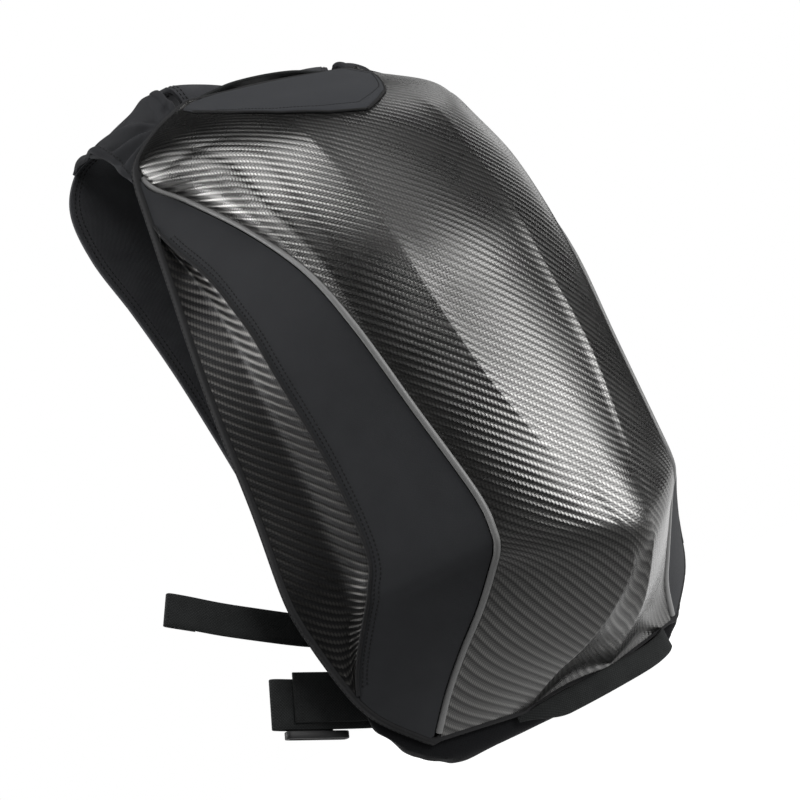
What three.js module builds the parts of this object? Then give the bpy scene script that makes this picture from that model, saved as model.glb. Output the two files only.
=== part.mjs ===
// A rider's hard-shell backpack: a hollow moulded front shell with two ridges, side panels with dished
// insets, piping, a bound rim, a padded back, shoulder straps on gathered yokes and a stowed waist belt.
// Millimetres, +Z up, the shell faces -Y, X runs to the right of someone who looks at the shell.
// The tables give the bag's right half from the rim plane Y = 0, and the left half is its mirror.

import * as THREE from "three";

// Walls, trims and clearances
const SHELL_WALL = 3;
const PANEL_WALL = 2.5;
const PATCH_WALL = 1.2;
const YOKE_WALL = 2;
const WEBBING_WALL = 1.8;
const WEBBING_BEVEL = 0.5;
const PIPING_RADIUS = 2.2;
const PIPING_SIDES = 8;
const SEAM_RADIUS = 1.3;
const SEAM_SIDES = 6;
const CLEARANCE = 0.3;
const RIM_Y = -4.5;
const BINDING_FRONT_Y = -4.1;
const BINDING_BACK_Y = 3.7;
const BINDING_INNER = 1.9;
const BINDING_OUTER = 2.3;
const RIDGE_LIP_WIDTH = 5;
const INSET_DISH = 8;
const SIDE_BULGE = 6;
const PATCH_LIFT = 1;

// One row for each station from the top edge to the bottom edge. The rim columns lie on the rim, the edge
// columns follow the shell's border along the rim and then along the piping, the corner columns pull the
// flank outwards, the ridge columns are the crease beside the plateau and the keel under the chin, the mid
// columns lie on the middle line, lip is the step up to the plateau, and seam is the inset seam's share of
// the way from the rim to the piping.
const STATION_COLUMNS = [
  "rimX", "rimZ", "edgeX", "edgeY", "edgeZ", "cornerX", "cornerY",
  "ridgeX", "ridgeY", "ridgeZ", "midY", "midZ", "lip", "seam",
];
const STATION_ROWS = [
  [   73, 476,    73, -4.5,  476,  56, -4.5,   36,   -4.5, 477, -4.5,  478,   0,  -0.3],
  [  104, 460,   104, -4.5,  460,  93,  -27,   46,    -36, 452,  -40,  450,   0,  -0.3],
  [  128, 440,   128, -4.5,  440, 116,  -49,   50,    -60, 432,  -65,  430,   0,  -0.3],
  [  134, 424,   129,   -6,  420, 121,  -65,   52,    -78, 412,  -83,  410, 0.8,  -0.3],
  [136.5, 404,   117,  -23,  396, 119,  -78,   53,    -94, 386,  -99,  384, 2.2, -0.12],
  [  143, 348, 106.5,  -58,  353, 115,  -96,   52,   -109, 343, -115,  340,   3,  0.33],
  [  149, 297,  99.5,  -89,  306,  96, -112, 49.5,   -122, 297, -128,  294,   3,  0.44],
  [  153, 252,    94, -104,  258,  84, -119,   47,   -127, 252, -133,  250, 2.6,  0.46],
  [156.5, 188,    85, -111,  193,  74, -127,   42,   -135, 190, -140,  188, 1.6,  0.48],
  [  162, 130,  76.5, -118,  130,  64, -135,   28, -142.5, 128, -147,  126, 0.6,  0.45],
  [  161, 108,    76, -117,  105,  58, -138,   20,   -147,  98, -151,   96,   0,  0.37],
  [  159,  97,  76.5, -112, 94.5,  52, -138,   14,   -149,  72, -151,   67,   0,  0.31],
  [  156,  82,  77.5, -101,   86,  48, -127,    8,   -138,  51, -136,   52,   0,  0.22],
  [  151,  62,    83,  -78,   68,  52, -101,   15,   -105,  30, -101,   34,   0,  0.08],
  [  145,  45,    91,  -52,   50,  58,  -72, 22.5,    -74,  18,  -70,   23,   0, -0.05],
  [  134,  29,  98.5,  -27,   31,  65,  -40,   31,    -43,  10,  -40, 14.5,   0,  -0.2],
  [  110,   6, 108.4, -4.5,    7,  72, -4.5,   37,   -4.5,  -3, -4.5,    0,   0,  -0.2],
];
const STATIONS = STATION_ROWS.map((row) =>
  Object.fromEntries(STATION_COLUMNS.map((column, i) => [column, row[i]])));
const LAST = STATIONS.length - 1;
const PIPING_START = 3;
const PIPING_END = LAST - 0.12;

// The back panel's own outline past the rim: rows of height, half width, and front and back depth.
const PANEL_SIDE_INSET = 1;
const PANEL_FRONT = 4.2;
const PANEL_BACK = 27;
const PANEL_HEAD = [
  { z: 481, half: 66, front: 6, back: 23 },
  { z: 476, half: 73, front: PANEL_FRONT, back: PANEL_BACK },
];
const PANEL_FOOT = [
  { z: 62, half: 152, front: PANEL_FRONT, back: PANEL_BACK },
  { z: 45, half: 150, front: PANEL_FRONT, back: 28 },
  { z: 26, half: 145, front: PANEL_FRONT, back: 33 },
  { z: 6, half: 129, front: PANEL_FRONT, back: 38 },
  { z: -8.5, half: 110, front: PANEL_FRONT, back: 41 },
  { z: -11.5, half: 104, front: -4, back: 41 },
  { z: -18, half: 92, front: -4, back: 40 },
];
const PANEL_FOOT_STATION = 13;

// A shoulder strap from the back panel's head over the arch to its lower end: its outer and inner edge.
const STRAP_WALL = 9;
const STRAP_ROWS = [
  { outer: [68, 21, 495], inner: [14, 23, 489.5] },
  { outer: [80, 36, 497], inner: [26, 40, 497] },
  { outer: [98, 54, 494], inner: [42, 60, 499] },
  { outer: [115, 70, 488], inner: [56, 77, 494] },
  { outer: [134, 82, 477], inner: [70, 87, 478] },
  { outer: [147, 87, 451], inner: [81, 90, 448] },
  { outer: [147, 86, 412], inner: [81, 87, 408] },
  { outer: [139.5, 78, 364], inner: [75, 79, 360] },
  { outer: [134, 69, 312], inner: [71, 70, 308] },
  { outer: [131, 60, 258], inner: [71, 61, 255] },
  { outer: [128, 53, 205], inner: [72, 53, 202] },
  { outer: [123, 47, 155], inner: [72, 47, 153] },
  { outer: [116, 44, 118], inner: [75, 44, 118] },
];

// Folds of the gathered yoke: share of the way along the rim, depth, and width as a share.
const YOKE_FOLDS = [
  { at: 0.12, depth: 3, width: 0.1 },
  { at: 0.42, depth: 6, width: 0.09 },
  { at: 0.66, depth: 5, width: 0.07 },
  { at: 0.86, depth: 4, width: 0.06 },
];

// Webbing runs: centre points in millimetres, half width, and the direction over the band's width.
const HANDLE = {
  path: [[-54, 11, 482.5], [-45, 11, 484.6], [-26, 11, 488.4], [0, 11, 489.6],
    [26, 11, 488.4], [45, 11, 484.6], [54, 11, 482.5]],
  half: 5, wall: 2.2, across: [0, 1, 0],
};
const LOWER_WEBBING = {
  path: [[95, 44.4, 96.9], [95.6, 43, 82], [97, 37, 66], [98, 28.3, 52]],
  half: 12.5, wall: WEBBING_WALL, across: [1, 0, 0],
};
const TAIL_LEFT = {
  path: [[-117.9, 43, 99], [-133, 41, 104], [-148, 39, 110.5], [-190, 38, 134], [-224, 38, 154]],
  half: 11, wall: WEBBING_WALL, across: [0.5, 0, 0.87],
};
const TAIL_RIGHT = {
  path: [[121.4, 43, 99.4], [125, 42, 86], [127, 40, 60], [128, 39, 24]],
  half: 12, wall: WEBBING_WALL, across: [1, 0, 0.25],
};
const BELT_LEFT = {
  path: [[-122, 30, 45], [-140, 32.6, 52.5], [-168, 34.2, 64], [-182, 34.6, 70], [-185.4, 36.4, 71.4],
    [-182, 38.2, 70], [-168, 38.8, 64], [-146, 39, 55]],
  half: 16.5, wall: WEBBING_WALL, across: [0.38, 0, 0.92],
};
const BELT_RIGHT = {
  path: [[-14, -7, -10.2], [6, -9.6, -10.2], [36, -11, -10.2], [66, -11.4, -10.2], [82, -10, -10],
    [90, -6.9, -9.8], [92, -4.9, -9.8]],
  half: 7.6, wall: WEBBING_WALL, across: [0, 0.05, 1],
};
const SLIDER = { at: [-165, 36.4, 41.6], length: 44, height: 5, depth: 8, slope: 0.41 };
const ADJUSTER = { at: [95, 44.4, 107.3], width: 34, height: 20, depth: 5 };

const MATERIALS = {
  shell: { color: 0x1b1b1c, roughness: 0.32, metalness: 0.1 },
  panel: { color: 0x1e1f22, roughness: 0.85, metalness: 0 },
  piping: { color: 0xa3a3a0, roughness: 0.45, metalness: 0.2 },
  trim: { color: 0x2c2c2e, roughness: 0.8, metalness: 0 },
  webbing: { color: 0x151818, roughness: 0.9, metalness: 0 },
  plastic: { color: 0x101112, roughness: 0.5, metalness: 0 },
};

const bag = new THREE.Group();

// Adds a named piece to the bag.
function addPiece(name, geometry, material) {
  const piece = new THREE.Mesh(geometry, new THREE.MeshStandardMaterial(MATERIALS[material]));
  piece.name = name;
  bag.add(piece);
}

// Evenly spaced values from one end to the other.
const stationsBetween = (from, to, count) =>
  Array.from({ length: count + 1 }, (_, i) => from + ((to - from) * i) / count);

// A smooth line through columns of the station table.
function stationCurve(toPoint) {
  return new THREE.CatmullRomCurve3(STATIONS.map(toPoint), false, "catmullrom", 0.5);
}

const rimCurve = stationCurve((row) => new THREE.Vector3(row.rimX, RIM_Y, row.rimZ));
const edgeCurve = stationCurve((row) => new THREE.Vector3(row.edgeX, row.edgeY, row.edgeZ));
const ridgeCurve = stationCurve((row) => new THREE.Vector3(row.ridgeX, row.ridgeY, row.ridgeZ));
const midCurve = stationCurve((row) => new THREE.Vector3(0, row.midY, row.midZ));
const cornerCurve = stationCurve((row) =>
  new THREE.Vector3(row.cornerX, row.cornerY, (row.edgeZ + row.ridgeZ) / 2));
const shareCurve = stationCurve((row) => new THREE.Vector3(row.lip, row.seam, 0));

const at = (curve, station) => curve.getPoint(station / LAST);
const mirrored = (point, side) => new THREE.Vector3(point.x * side, point.y, point.z);
const lerp = (a, b, share) => new THREE.Vector3().lerpVectors(a, b, share);

// The share of the way from the shell's border to a point that keeps the given distance square to it.
function shareClear(station, towards, distance) {
  const reach = towards.clone().sub(at(edgeCurve, station));
  const tangent = edgeCurve.getTangent(station / LAST);
  return distance / Math.max(reach.addScaledVector(tangent, -reach.dot(tangent)).length(), 1);
}

// A point of the shell's right half: across runs from 0 at the border over 1 at the ridge and 2 at the
// top of the lip to 3 on the middle line.
function shellPoint(across, station) {
  const edge = at(edgeCurve, station);
  const corner = at(cornerCurve, station);
  const ridge = at(ridgeCurve, station);
  const mid = at(midCurve, station);
  const lip = Math.max(at(shareCurve, station).x, 0);
  const inward = ridge.x > 4 * RIDGE_LIP_WIDTH ? RIDGE_LIP_WIDTH : ridge.x / 4;
  const crown = (x) => {
    const share = (x / ridge.x) ** 2;
    return new THREE.Vector3(x, mid.y + (ridge.y - mid.y) * share, mid.z + (ridge.z - mid.z) * share);
  };
  const lipTop = crown(ridge.x - inward);
  if (across <= 1) {
    const clear = station < PIPING_START ? 0 : shareClear(station, corner, PIPING_RADIUS + CLEARANCE);
    const start = lerp(edge, corner, clear);
    const first = lerp(start, corner, across);
    return lerp(first, lerp(corner, ridge, across), across).add(new THREE.Vector3(0, lip * across ** 6, 0));
  }
  if (across <= 2) {
    const foot = ridge.clone().add(new THREE.Vector3(0, lip, 0));
    return lerp(foot, lipTop, across - 1);
  }
  return crown(lipTop.x * (3 - across));
}

// A point of a side panel: share runs from 0 on the rim to 1 on the piping.
function sidePoint(share, station) {
  const rim = at(rimCurve, station);
  const edge = at(edgeCurve, station);
  const outward = new THREE.Vector3(rim.y - edge.y, edge.x - rim.x, 0).normalize();
  const down = THREE.MathUtils.clamp((station - PIPING_START) / (LAST - PIPING_START), 0, 1);
  const bulge = SIDE_BULGE * Math.sin(Math.PI * down) * Math.sin(Math.PI * share);
  return lerp(rim, edge, share).addScaledVector(outward, bulge);
}

const seamShare = (station) => at(shareCurve, station).y;

// Makes a closed geometry from corner points and faces, turned so that it faces outwards.
function closedGeometry(points, faces) {
  const triangles = faces.flatMap((f) => (f.length === 3 ? [f] : [[f[0], f[1], f[2]], [f[0], f[2], f[3]]]));
  const volume = triangles.reduce(
    (sum, [a, b, c]) => sum + points[a].dot(points[b].clone().cross(points[c])), 0);
  const turned = volume < 0 ? triangles.map(([a, b, c]) => [a, c, b]) : triangles;
  const geometry = new THREE.BufferGeometry().setFromPoints(points);
  geometry.setIndex(turned.flat());
  geometry.computeVertexNormals();
  return geometry;
}

// The outward normals of a grid of points, away from the bag's inside.
function gridNormals(grid, inside) {
  const rows = grid.length - 1;
  const columns = grid[0].length - 1;
  return grid.map((row, i) => row.map((point, j) => {
    const along = grid[Math.min(i + 1, rows)][j].clone().sub(grid[Math.max(i - 1, 0)][j]);
    const across = row[Math.min(j + 1, columns)].clone().sub(row[Math.max(j - 1, 0)]);
    const normal = along.cross(across).normalize();
    return normal.dot(point.clone().sub(inside)) < 0 ? normal.negate() : normal;
  }));
}

// A wall whose outer and inner faces are two grids of points.
function wallBetween(outer, inner) {
  const rows = outer.length;
  const columns = outer[0].length;
  const points = [...outer.flat(), ...inner.flat()];
  const far = rows * columns;
  const id = (i, j) => i * columns + j;
  const faces = [];
  for (let i = 0; i < rows - 1; i++) {
    for (let j = 0; j < columns - 1; j++) {
      const quad = [id(i, j), id(i, j + 1), id(i + 1, j + 1), id(i + 1, j)];
      faces.push(quad, quad.map((k) => k + far).reverse());
    }
  }
  const border = [];
  for (let j = 0; j < columns - 1; j++) border.push(id(0, j));
  for (let i = 0; i < rows - 1; i++) border.push(id(i, columns - 1));
  for (let j = columns - 1; j > 0; j--) border.push(id(rows - 1, j));
  for (let i = rows - 1; i > 0; i--) border.push(id(i, 0));
  border.forEach((k, n) => {
    const next = border[(n + 1) % border.length];
    faces.push([next, k, k + far, next + far]);
  });
  return closedGeometry(points, faces);
}

// A wall of even thickness under a grid of points, kept in front of the given depth.
function wallUnder(grid, wall, inside, backLimit) {
  const normals = gridNormals(grid, inside);
  const inner = grid.map((row, i) => row.map((point, j) => {
    const below = point.clone().addScaledVector(normals[i][j], -wall);
    below.y = Math.min(below.y, backLimit);
    return below;
  }));
  return wallBetween(grid, inner);
}

// A solid through loops of points, closed into a ring or capped at both ends.
function loft(loops, ring) {
  const count = loops[0].length;
  const faces = [];
  const spans = ring ? loops.length : loops.length - 1;
  for (let i = 0; i < spans; i++) {
    const next = (i + 1) % loops.length;
    for (let j = 0; j < count; j++) {
      const k = (j + 1) % count;
      faces.push([i * count + j, i * count + k, next * count + k, next * count + j]);
    }
  }
  if (!ring) {
    const end = (loops.length - 1) * count;
    for (let j = 1; j < count - 1; j++) {
      faces.push([0, j + 1, j], [end, end + j, end + j + 1]);
    }
  }
  return closedGeometry(loops.flat(), faces);
}

// A round tube through points.
function tube(points, radius, sides) {
  const last = points.length - 1;
  const loops = points.map((point, i) => {
    const ahead = points[Math.min(i + 1, last)].clone().sub(points[Math.max(i - 1, 0)]).normalize();
    const out = new THREE.Vector3(1, 0, 0).addScaledVector(ahead, -ahead.x).normalize();
    const round = ahead.clone().cross(out);
    return Array.from({ length: sides }, (_, k) => {
      const turn = (2 * Math.PI * k) / sides;
      return point.clone().addScaledVector(out, radius * Math.cos(turn))
        .addScaledVector(round, radius * Math.sin(turn));
    });
  });
  return loft(loops, false);
}

// A band's middle, its direction over the width, its half width and its face at a share of its length.
function bandFrame({ path, across }, share) {
  const curve = new THREE.CatmullRomCurve3(path, false, "catmullrom", 0.5);
  const over = new THREE.CatmullRomCurve3(across, false, "catmullrom", 0.5).getPoint(share);
  const half = over.length();
  const side = over.divideScalar(half);
  return { centre: curve.getPoint(share), side, out: curve.getTangent(share).cross(side).normalize(), half };
}

// The sections of a band along its middle, with bevelled edges.
function bandLoops(shape, wall, bevel, mirror) {
  const steps = 2 * (shape.path.length - 1);
  return stationsBetween(0, 1, steps).map((share) => {
    const { centre, side, out, half } = bandFrame(shape, share);
    const face = wall / 2;
    const brow = face - bevel / 2;
    return [
      [bevel - half, face], [-half, brow], [-half, -brow], [bevel - half, -face],
      [half - bevel, -face], [half, -brow], [half, brow], [half - bevel, face],
    ].map(([u, w]) => mirrored(centre.clone().addScaledVector(side, u).addScaledVector(out, w), mirror));
  });
}

// A run of webbing from its row of sizes.
function webbing({ path, half, wall, across }, mirror) {
  const shape = {
    path: path.map((point) => new THREE.Vector3(...point)),
    across: path.map(() => new THREE.Vector3(...across).setLength(half)),
  };
  return loft(bandLoops(shape, wall, WEBBING_BEVEL, mirror), false);
}

const INSIDE = new THREE.Vector3(0, -20, 230);

// The shell, one grid from the left border over the middle to the right border
const FLANK_STEPS = 6;
const PLATEAU_STEPS = 3;
const halfAcross = [
  ...Array.from({ length: FLANK_STEPS + 1 }, (_, i) => i / FLANK_STEPS),
  ...Array.from({ length: PLATEAU_STEPS + 1 }, (_, i) => 2 + i / PLATEAU_STEPS),
];
function shellRow(station) {
  const right = halfAcross.map((across) => shellPoint(across, station));
  const left = right.slice(0, -1).map((point) => mirrored(point, -1));
  return [...left, ...right.reverse()];
}
const shellGrid = stationsBetween(0, LAST, 2 * LAST).map(shellRow);
addPiece("shell", wallUnder(shellGrid, SHELL_WALL, INSIDE, RIM_Y), "shell");

// The fabric patch on the sloped top: rows of x with the stations of its back and front border
const PATCH_ROWS = [
  { x: -82, back: 0.5, front: 0.86 },
  { x: -71, back: 0.2, front: 1.72 },
  { x: -51, back: 0.06, front: 2.5 },
  { x: -24, back: 0.06, front: 3.04 },
  { x: 2, back: 0.06, front: 3.3 },
  { x: 19, back: 0.06, front: 2.96 },
  { x: 35, back: 0.06, front: 2.54 },
  { x: 54, back: 0.06, front: 1.5 },
  { x: 69, back: 0.2, front: 0.75 },
];
const PATCH_STEPS = 6;
const SEARCH_STEPS = 24;

// The shell's outer point at a station, found by its distance from the middle.
function shellPointAtX(x, station) {
  const side = Math.sign(x) || 1;
  let [low, high] = [0, 3];
  for (let i = 0; i < SEARCH_STEPS; i++) {
    const half = (low + high) / 2;
    if (shellPoint(half, station).x > Math.abs(x)) low = half;
    else high = half;
  }
  return mirrored(shellPoint(low, station), side);
}
const patchGrid = PATCH_ROWS.map(({ x, back, front }) =>
  stationsBetween(back, front, PATCH_STEPS).map((station) => shellPointAtX(x, station)));
const patchNormals = gridNormals(patchGrid, INSIDE);
const lifted = (lift) => patchGrid.map((row, i) =>
  row.map((point, j) => point.clone().addScaledVector(patchNormals[i][j], lift)));
addPiece("top_patch", wallBetween(lifted(PATCH_LIFT + PATCH_WALL), lifted(PATCH_LIFT)), "panel");

// Side panels, insets and their seams, right and left
const PANEL_STEPS = 4;
const PANEL_GRID_ROWS = 26;
const INSET_STEPS = 6;
const INSET_ROWS = 20;
const PANEL_FROM = PIPING_START + 0.35;
const PANEL_TO = LAST - 0.35;
const SEAM_FROM = 4.5;
const SEAM_TO = 13.3;
const INSET_FROM = 4.8;
const INSET_TO = 13;
const INSET_CREASE = 0.55;
const SEAM_SPACE = SEAM_RADIUS + 0.7;

// The dish of an inset, deepest on its crease.
function dishDepth(share) {
  if (share < INSET_CREASE) return share / INSET_CREASE;
  return Math.sin(((1 - share) / (1 - INSET_CREASE)) * (Math.PI / 2)) ** 1.5;
}

// The share of a side panel's width that stays clear beside the seam.
function seamClear(station) {
  const width = at(edgeCurve, station).sub(at(rimCurve, station));
  const ahead = sidePoint(seamShare(station + 0.05), station + 0.05)
    .sub(sidePoint(seamShare(station - 0.05), station - 0.05)).normalize();
  return SEAM_SPACE / width.addScaledVector(ahead, -width.dot(ahead)).length();
}

// A side panel's row of points from the seam or the rim to the piping.
function panelRow(station) {
  const rim = at(rimCurve, station);
  const seam = seamShare(station);
  const inner = seam > 0 ? seam + seamClear(station) : 0;
  const outer = 1 - shareClear(station, rim, PIPING_RADIUS + 2 * CLEARANCE);
  return stationsBetween(inner, outer, PANEL_STEPS).map((share) => sidePoint(share, station));
}

// An inset's row of points from the rim to the seam.
function insetRow(station) {
  const rim = at(rimCurve, station);
  const edge = at(edgeCurve, station);
  const outer = seamShare(station) - seamClear(station);
  const inward = new THREE.Vector3(edge.y - rim.y, rim.x - edge.x, 0).normalize();
  const fade = Math.min(outer / 0.3, 1) * INSET_DISH;
  return stationsBetween(0, 1, INSET_STEPS).map((share) =>
    sidePoint(share * outer, station).addScaledVector(inward, fade * dishDepth(share)));
}

const panelGrid = stationsBetween(PANEL_FROM, PANEL_TO, PANEL_GRID_ROWS).map(panelRow);
const insetGrid = stationsBetween(INSET_FROM, INSET_TO, INSET_ROWS).map(insetRow);
const pipingLine = stationsBetween(PIPING_START, LAST, 2 * (LAST - PIPING_START)).map((station) =>
  at(edgeCurve, Math.min(station, PIPING_END)));
const seamLine = stationsBetween(SEAM_FROM, SEAM_TO, INSET_ROWS).map((station) =>
  sidePoint(seamShare(station), station));

for (const [side, name] of [[-1, "left"], [1, "right"]]) {
  const turned = (grid) => grid.map((row) => row.map((point) => mirrored(point, side)));
  const line = (points) => points.map((point) => mirrored(point, side));
  addPiece("side_panel_" + name, wallUnder(turned(panelGrid), PANEL_WALL, INSIDE, RIM_Y), "panel");
  addPiece("side_inset_" + name, wallUnder(turned(insetGrid), PANEL_WALL, INSIDE, RIM_Y), "shell");
  addPiece("piping_" + name, tube(line(pipingLine), PIPING_RADIUS, PIPING_SIDES), "piping");
  addPiece("inset_seam_" + name, tube(line(seamLine), SEAM_RADIUS, SEAM_SIDES), "trim");
}

// The rim's loop in its own plane, clockwise from the middle of the top edge
const RIM_STEPS = 28;
const rimHalf = [
  ...[2.5, 2, 1, 0.5].map((across) => shellPoint(across, 0)),
  ...stationsBetween(0, LAST, RIM_STEPS).map((station) => at(rimCurve, station)),
  ...[0.5, 1, 2, 2.5].map((across) => shellPoint(across, LAST)),
];
const rimLoop = [
  shellPoint(3, 0),
  ...rimHalf,
  shellPoint(3, LAST),
  ...rimHalf.toReversed().map((point) => mirrored(point, -1)),
];
const bindingLoops = rimLoop.map((point, i) => {
  const before = rimLoop[(i + rimLoop.length - 1) % rimLoop.length];
  const after = rimLoop[(i + 1) % rimLoop.length];
  const out = new THREE.Vector3(-(after.z - before.z), 0, after.x - before.x).normalize();
  const corner = (distance, y) =>
    new THREE.Vector3(point.x, y, point.z).addScaledVector(out, distance);
  return [
    corner(BINDING_OUTER, BINDING_FRONT_Y + 1), corner(BINDING_OUTER - 1, BINDING_FRONT_Y),
    corner(-BINDING_INNER, BINDING_FRONT_Y), corner(-BINDING_INNER, BINDING_BACK_Y),
    corner(BINDING_OUTER, BINDING_BACK_Y),
  ];
});
addPiece("edge_binding", loft(bindingLoops, true), "trim");

// The padded back, in level sections that are flat in front and rounded behind
const PANEL_ROUND = 0.35;
const PANEL_ARC_STEPS = 12;
function panelSection({ z, half, front, back }) {
  return Array.from({ length: PANEL_ARC_STEPS + 1 }, (_, i) => {
    const turn = (Math.PI * i) / PANEL_ARC_STEPS;
    const round = (value) => Math.sign(value) * Math.abs(value) ** PANEL_ROUND;
    return new THREE.Vector3(half * round(Math.cos(turn)), front + (back - front) * round(Math.sin(turn)), z);
  });
}
const panelRows = [
  ...PANEL_HEAD,
  ...STATIONS.slice(1, PANEL_FOOT_STATION).map(({ rimX, rimZ }) =>
    ({ z: rimZ, half: rimX - PANEL_SIDE_INSET, front: PANEL_FRONT, back: PANEL_BACK })),
  ...PANEL_FOOT,
];
addPiece("back_panel", loft(panelRows.map(panelSection), false), "panel");

// Shoulder straps and the gathered yokes between the rim and the straps' outer edges
const STRAP_BEVEL = 3;
const STRAP_LIFT_LEFT = 5;
const STRAP_LIFT_RIGHT = -4;
const STRAP_LIFT_ROWS = 3;
const YOKE_STEPS = 16;
const YOKE_RISE_STEPS = 5;
const YOKE_RIM_FROM = 2.9;
const YOKE_RIM_TO = 0.15;
const YOKE_STRAP_FROM = 3.9;
const YOKE_STRAP_TO = 0.4;
const YOKE_RIM_OFFSET = 1.2;
const YOKE_SAG = 9;

// A strap's middle line and half width, with its outer edge lifted towards its upper end.
function strapShape(lift) {
  const edges = STRAP_ROWS.map(({ outer, inner }, i) => [
    new THREE.Vector3(outer[0], outer[1], outer[2] + lift * Math.max(1 - i / STRAP_LIFT_ROWS, 0)),
    new THREE.Vector3(...inner),
  ]);
  return {
    path: edges.map(([outer, inner]) => lerp(outer, inner, 0.5)),
    across: edges.map(([outer, inner]) => outer.clone().sub(inner).multiplyScalar(0.5)),
  };
}

// The depth of a yoke's folds at a share of the way along the rim.
function yokeFold(share) {
  return YOKE_FOLDS.reduce(
    (sum, { at: place, depth, width }) => sum + depth * Math.exp(-(((share - place) / width) ** 2)), 0);
}

// A yoke's outer face from the rim to the edge of its strap.
function yokeGrid(strap) {
  return stationsBetween(0, 1, YOKE_STEPS).map((share) => {
    const rim = at(rimCurve, THREE.MathUtils.lerp(YOKE_RIM_FROM, YOKE_RIM_TO, share));
    const start = rim.clone().add(new THREE.Vector3(YOKE_RIM_OFFSET, 0, YOKE_RIM_OFFSET));
    start.y = BINDING_BACK_Y + CLEARANCE;
    const row = THREE.MathUtils.lerp(YOKE_STRAP_FROM, YOKE_STRAP_TO, share);
    const { centre, side, half } = bandFrame(strap, row / (STRAP_ROWS.length - 1));
    const end = centre.clone().addScaledVector(side, half + 4 * CLEARANCE + YOKE_WALL);
    return stationsBetween(0, 1, YOKE_RISE_STEPS).map((rise) => {
      const point = lerp(start, end, rise);
      point.z += Math.sin(Math.PI * rise) * (YOKE_SAG - yokeFold(share));
      return point;
    });
  });
}

for (const [side, name, lift] of [[-1, "left", STRAP_LIFT_LEFT], [1, "right", STRAP_LIFT_RIGHT]]) {
  const strap = strapShape(lift);
  addPiece("shoulder_strap_" + name, loft(bandLoops(strap, STRAP_WALL, STRAP_BEVEL, side), false), "panel");
  const grid = yokeGrid(strap).map((row) => row.map((point) => mirrored(point, side)));
  const under = new THREE.Vector3(side * 60, 40, 300);
  addPiece("strap_yoke_" + name, wallUnder(grid, YOKE_WALL, under, Infinity), "trim");
  const [x, y, z] = ADJUSTER.at;
  const block = new THREE.BoxGeometry(ADJUSTER.width, ADJUSTER.depth, ADJUSTER.height);
  addPiece("strap_adjuster_" + name, block.translate(side * x, y, z), "plastic");
  addPiece("strap_webbing_" + name, webbing(LOWER_WEBBING, side), "webbing");
}

// The handle, the straps' free ends and the stowed waist belt
addPiece("grab_handle", webbing(HANDLE, 1), "webbing");
addPiece("strap_tail_left", webbing(TAIL_LEFT, 1), "webbing");
addPiece("strap_tail_right", webbing(TAIL_RIGHT, 1), "webbing");
addPiece("waist_belt_left", webbing(BELT_LEFT, 1), "webbing");
addPiece("waist_belt_right", webbing(BELT_RIGHT, 1), "webbing");
const slider = new THREE.BoxGeometry(SLIDER.length, SLIDER.depth, SLIDER.height)
  .rotateY(Math.atan(SLIDER.slope))
  .translate(...SLIDER.at);
addPiece("waist_belt_slider", slider, "plastic");

const box = new THREE.Box3().setFromObject(bag);
const middle = box.getCenter(new THREE.Vector3());
bag.position.set(-middle.x, -middle.y, -box.min.z);

export default bag;
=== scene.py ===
"""Looks of a rider's hard-shell backpack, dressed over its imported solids.

Tables hold millimetres from the middle of the rim's lower edge, as the bag is cut, and meshes are
metres in the part's frame. The shell faces -Y, +Z is up, and the tables give the right half of
what is alike.
"""

import logging
import math
from dataclasses import Field, dataclass, field
from enum import Enum
from typing import Callable, Iterable, Sequence

import bmesh
import bpy
import numpy as np
from mathutils import Matrix, Vector


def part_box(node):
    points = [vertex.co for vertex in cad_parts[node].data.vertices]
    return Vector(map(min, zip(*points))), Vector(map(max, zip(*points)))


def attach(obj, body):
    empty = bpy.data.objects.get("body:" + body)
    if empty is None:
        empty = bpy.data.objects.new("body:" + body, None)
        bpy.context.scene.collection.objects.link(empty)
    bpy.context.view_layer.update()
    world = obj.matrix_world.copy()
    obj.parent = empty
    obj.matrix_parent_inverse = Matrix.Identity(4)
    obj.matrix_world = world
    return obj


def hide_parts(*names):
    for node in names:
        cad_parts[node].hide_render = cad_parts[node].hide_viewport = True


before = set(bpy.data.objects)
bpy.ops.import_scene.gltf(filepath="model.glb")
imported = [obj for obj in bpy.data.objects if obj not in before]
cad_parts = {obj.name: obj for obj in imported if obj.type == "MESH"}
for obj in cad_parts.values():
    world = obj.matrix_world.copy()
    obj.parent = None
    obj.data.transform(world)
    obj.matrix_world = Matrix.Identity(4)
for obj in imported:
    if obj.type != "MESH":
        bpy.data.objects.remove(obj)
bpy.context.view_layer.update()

LOG = logging.getLogger("helmet_backpack")
MM = 0.001
BODY = "root"
Socket = bpy.types.NodeSocket
Material = bpy.types.Material
Object = bpy.types.Object
Pair = tuple[float, float]
Triple = tuple[float, float, float]
Colour = Triple


class Slot(Enum):
    """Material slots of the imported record."""

    CARBON_SKIN = "carbon_skin"
    PANEL_FABRIC = "panel_fabric"
    PATCH_FABRIC = "patch_fabric"
    BINDING_TAPE = "binding_tape"
    PADDING_FABRIC = "padding_fabric"
    YOKE_FABRIC = "yoke_fabric"
    WEBBING = "webbing"
    PIPING = "piping"
    BUCKLE_PLASTIC = "buckle_plastic"


class Side(Enum):
    """The bag's two sides, as the sign of their X."""

    LEFT = -1
    RIGHT = 1

    @property
    def word(self) -> str:
        """The side's name as the nodes carry it."""
        return self.name.lower()


# Walls and trims that the solids share, in millimetres
PIPING_RADIUS = 2.2
CLEARANCE = 0.3
RIM_Y = -4.5
BINDING_FRONT_Y = -4.1
BINDING_BACK_Y = 3.7
FLOOR_Z = -18.0
INSIDE = np.array([0.0, -20.0, 230.0])

# The least that is divided by: any length, and a width in millimetres
TINY = 1e-9
LEAST_WIDTH = 1.0

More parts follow.
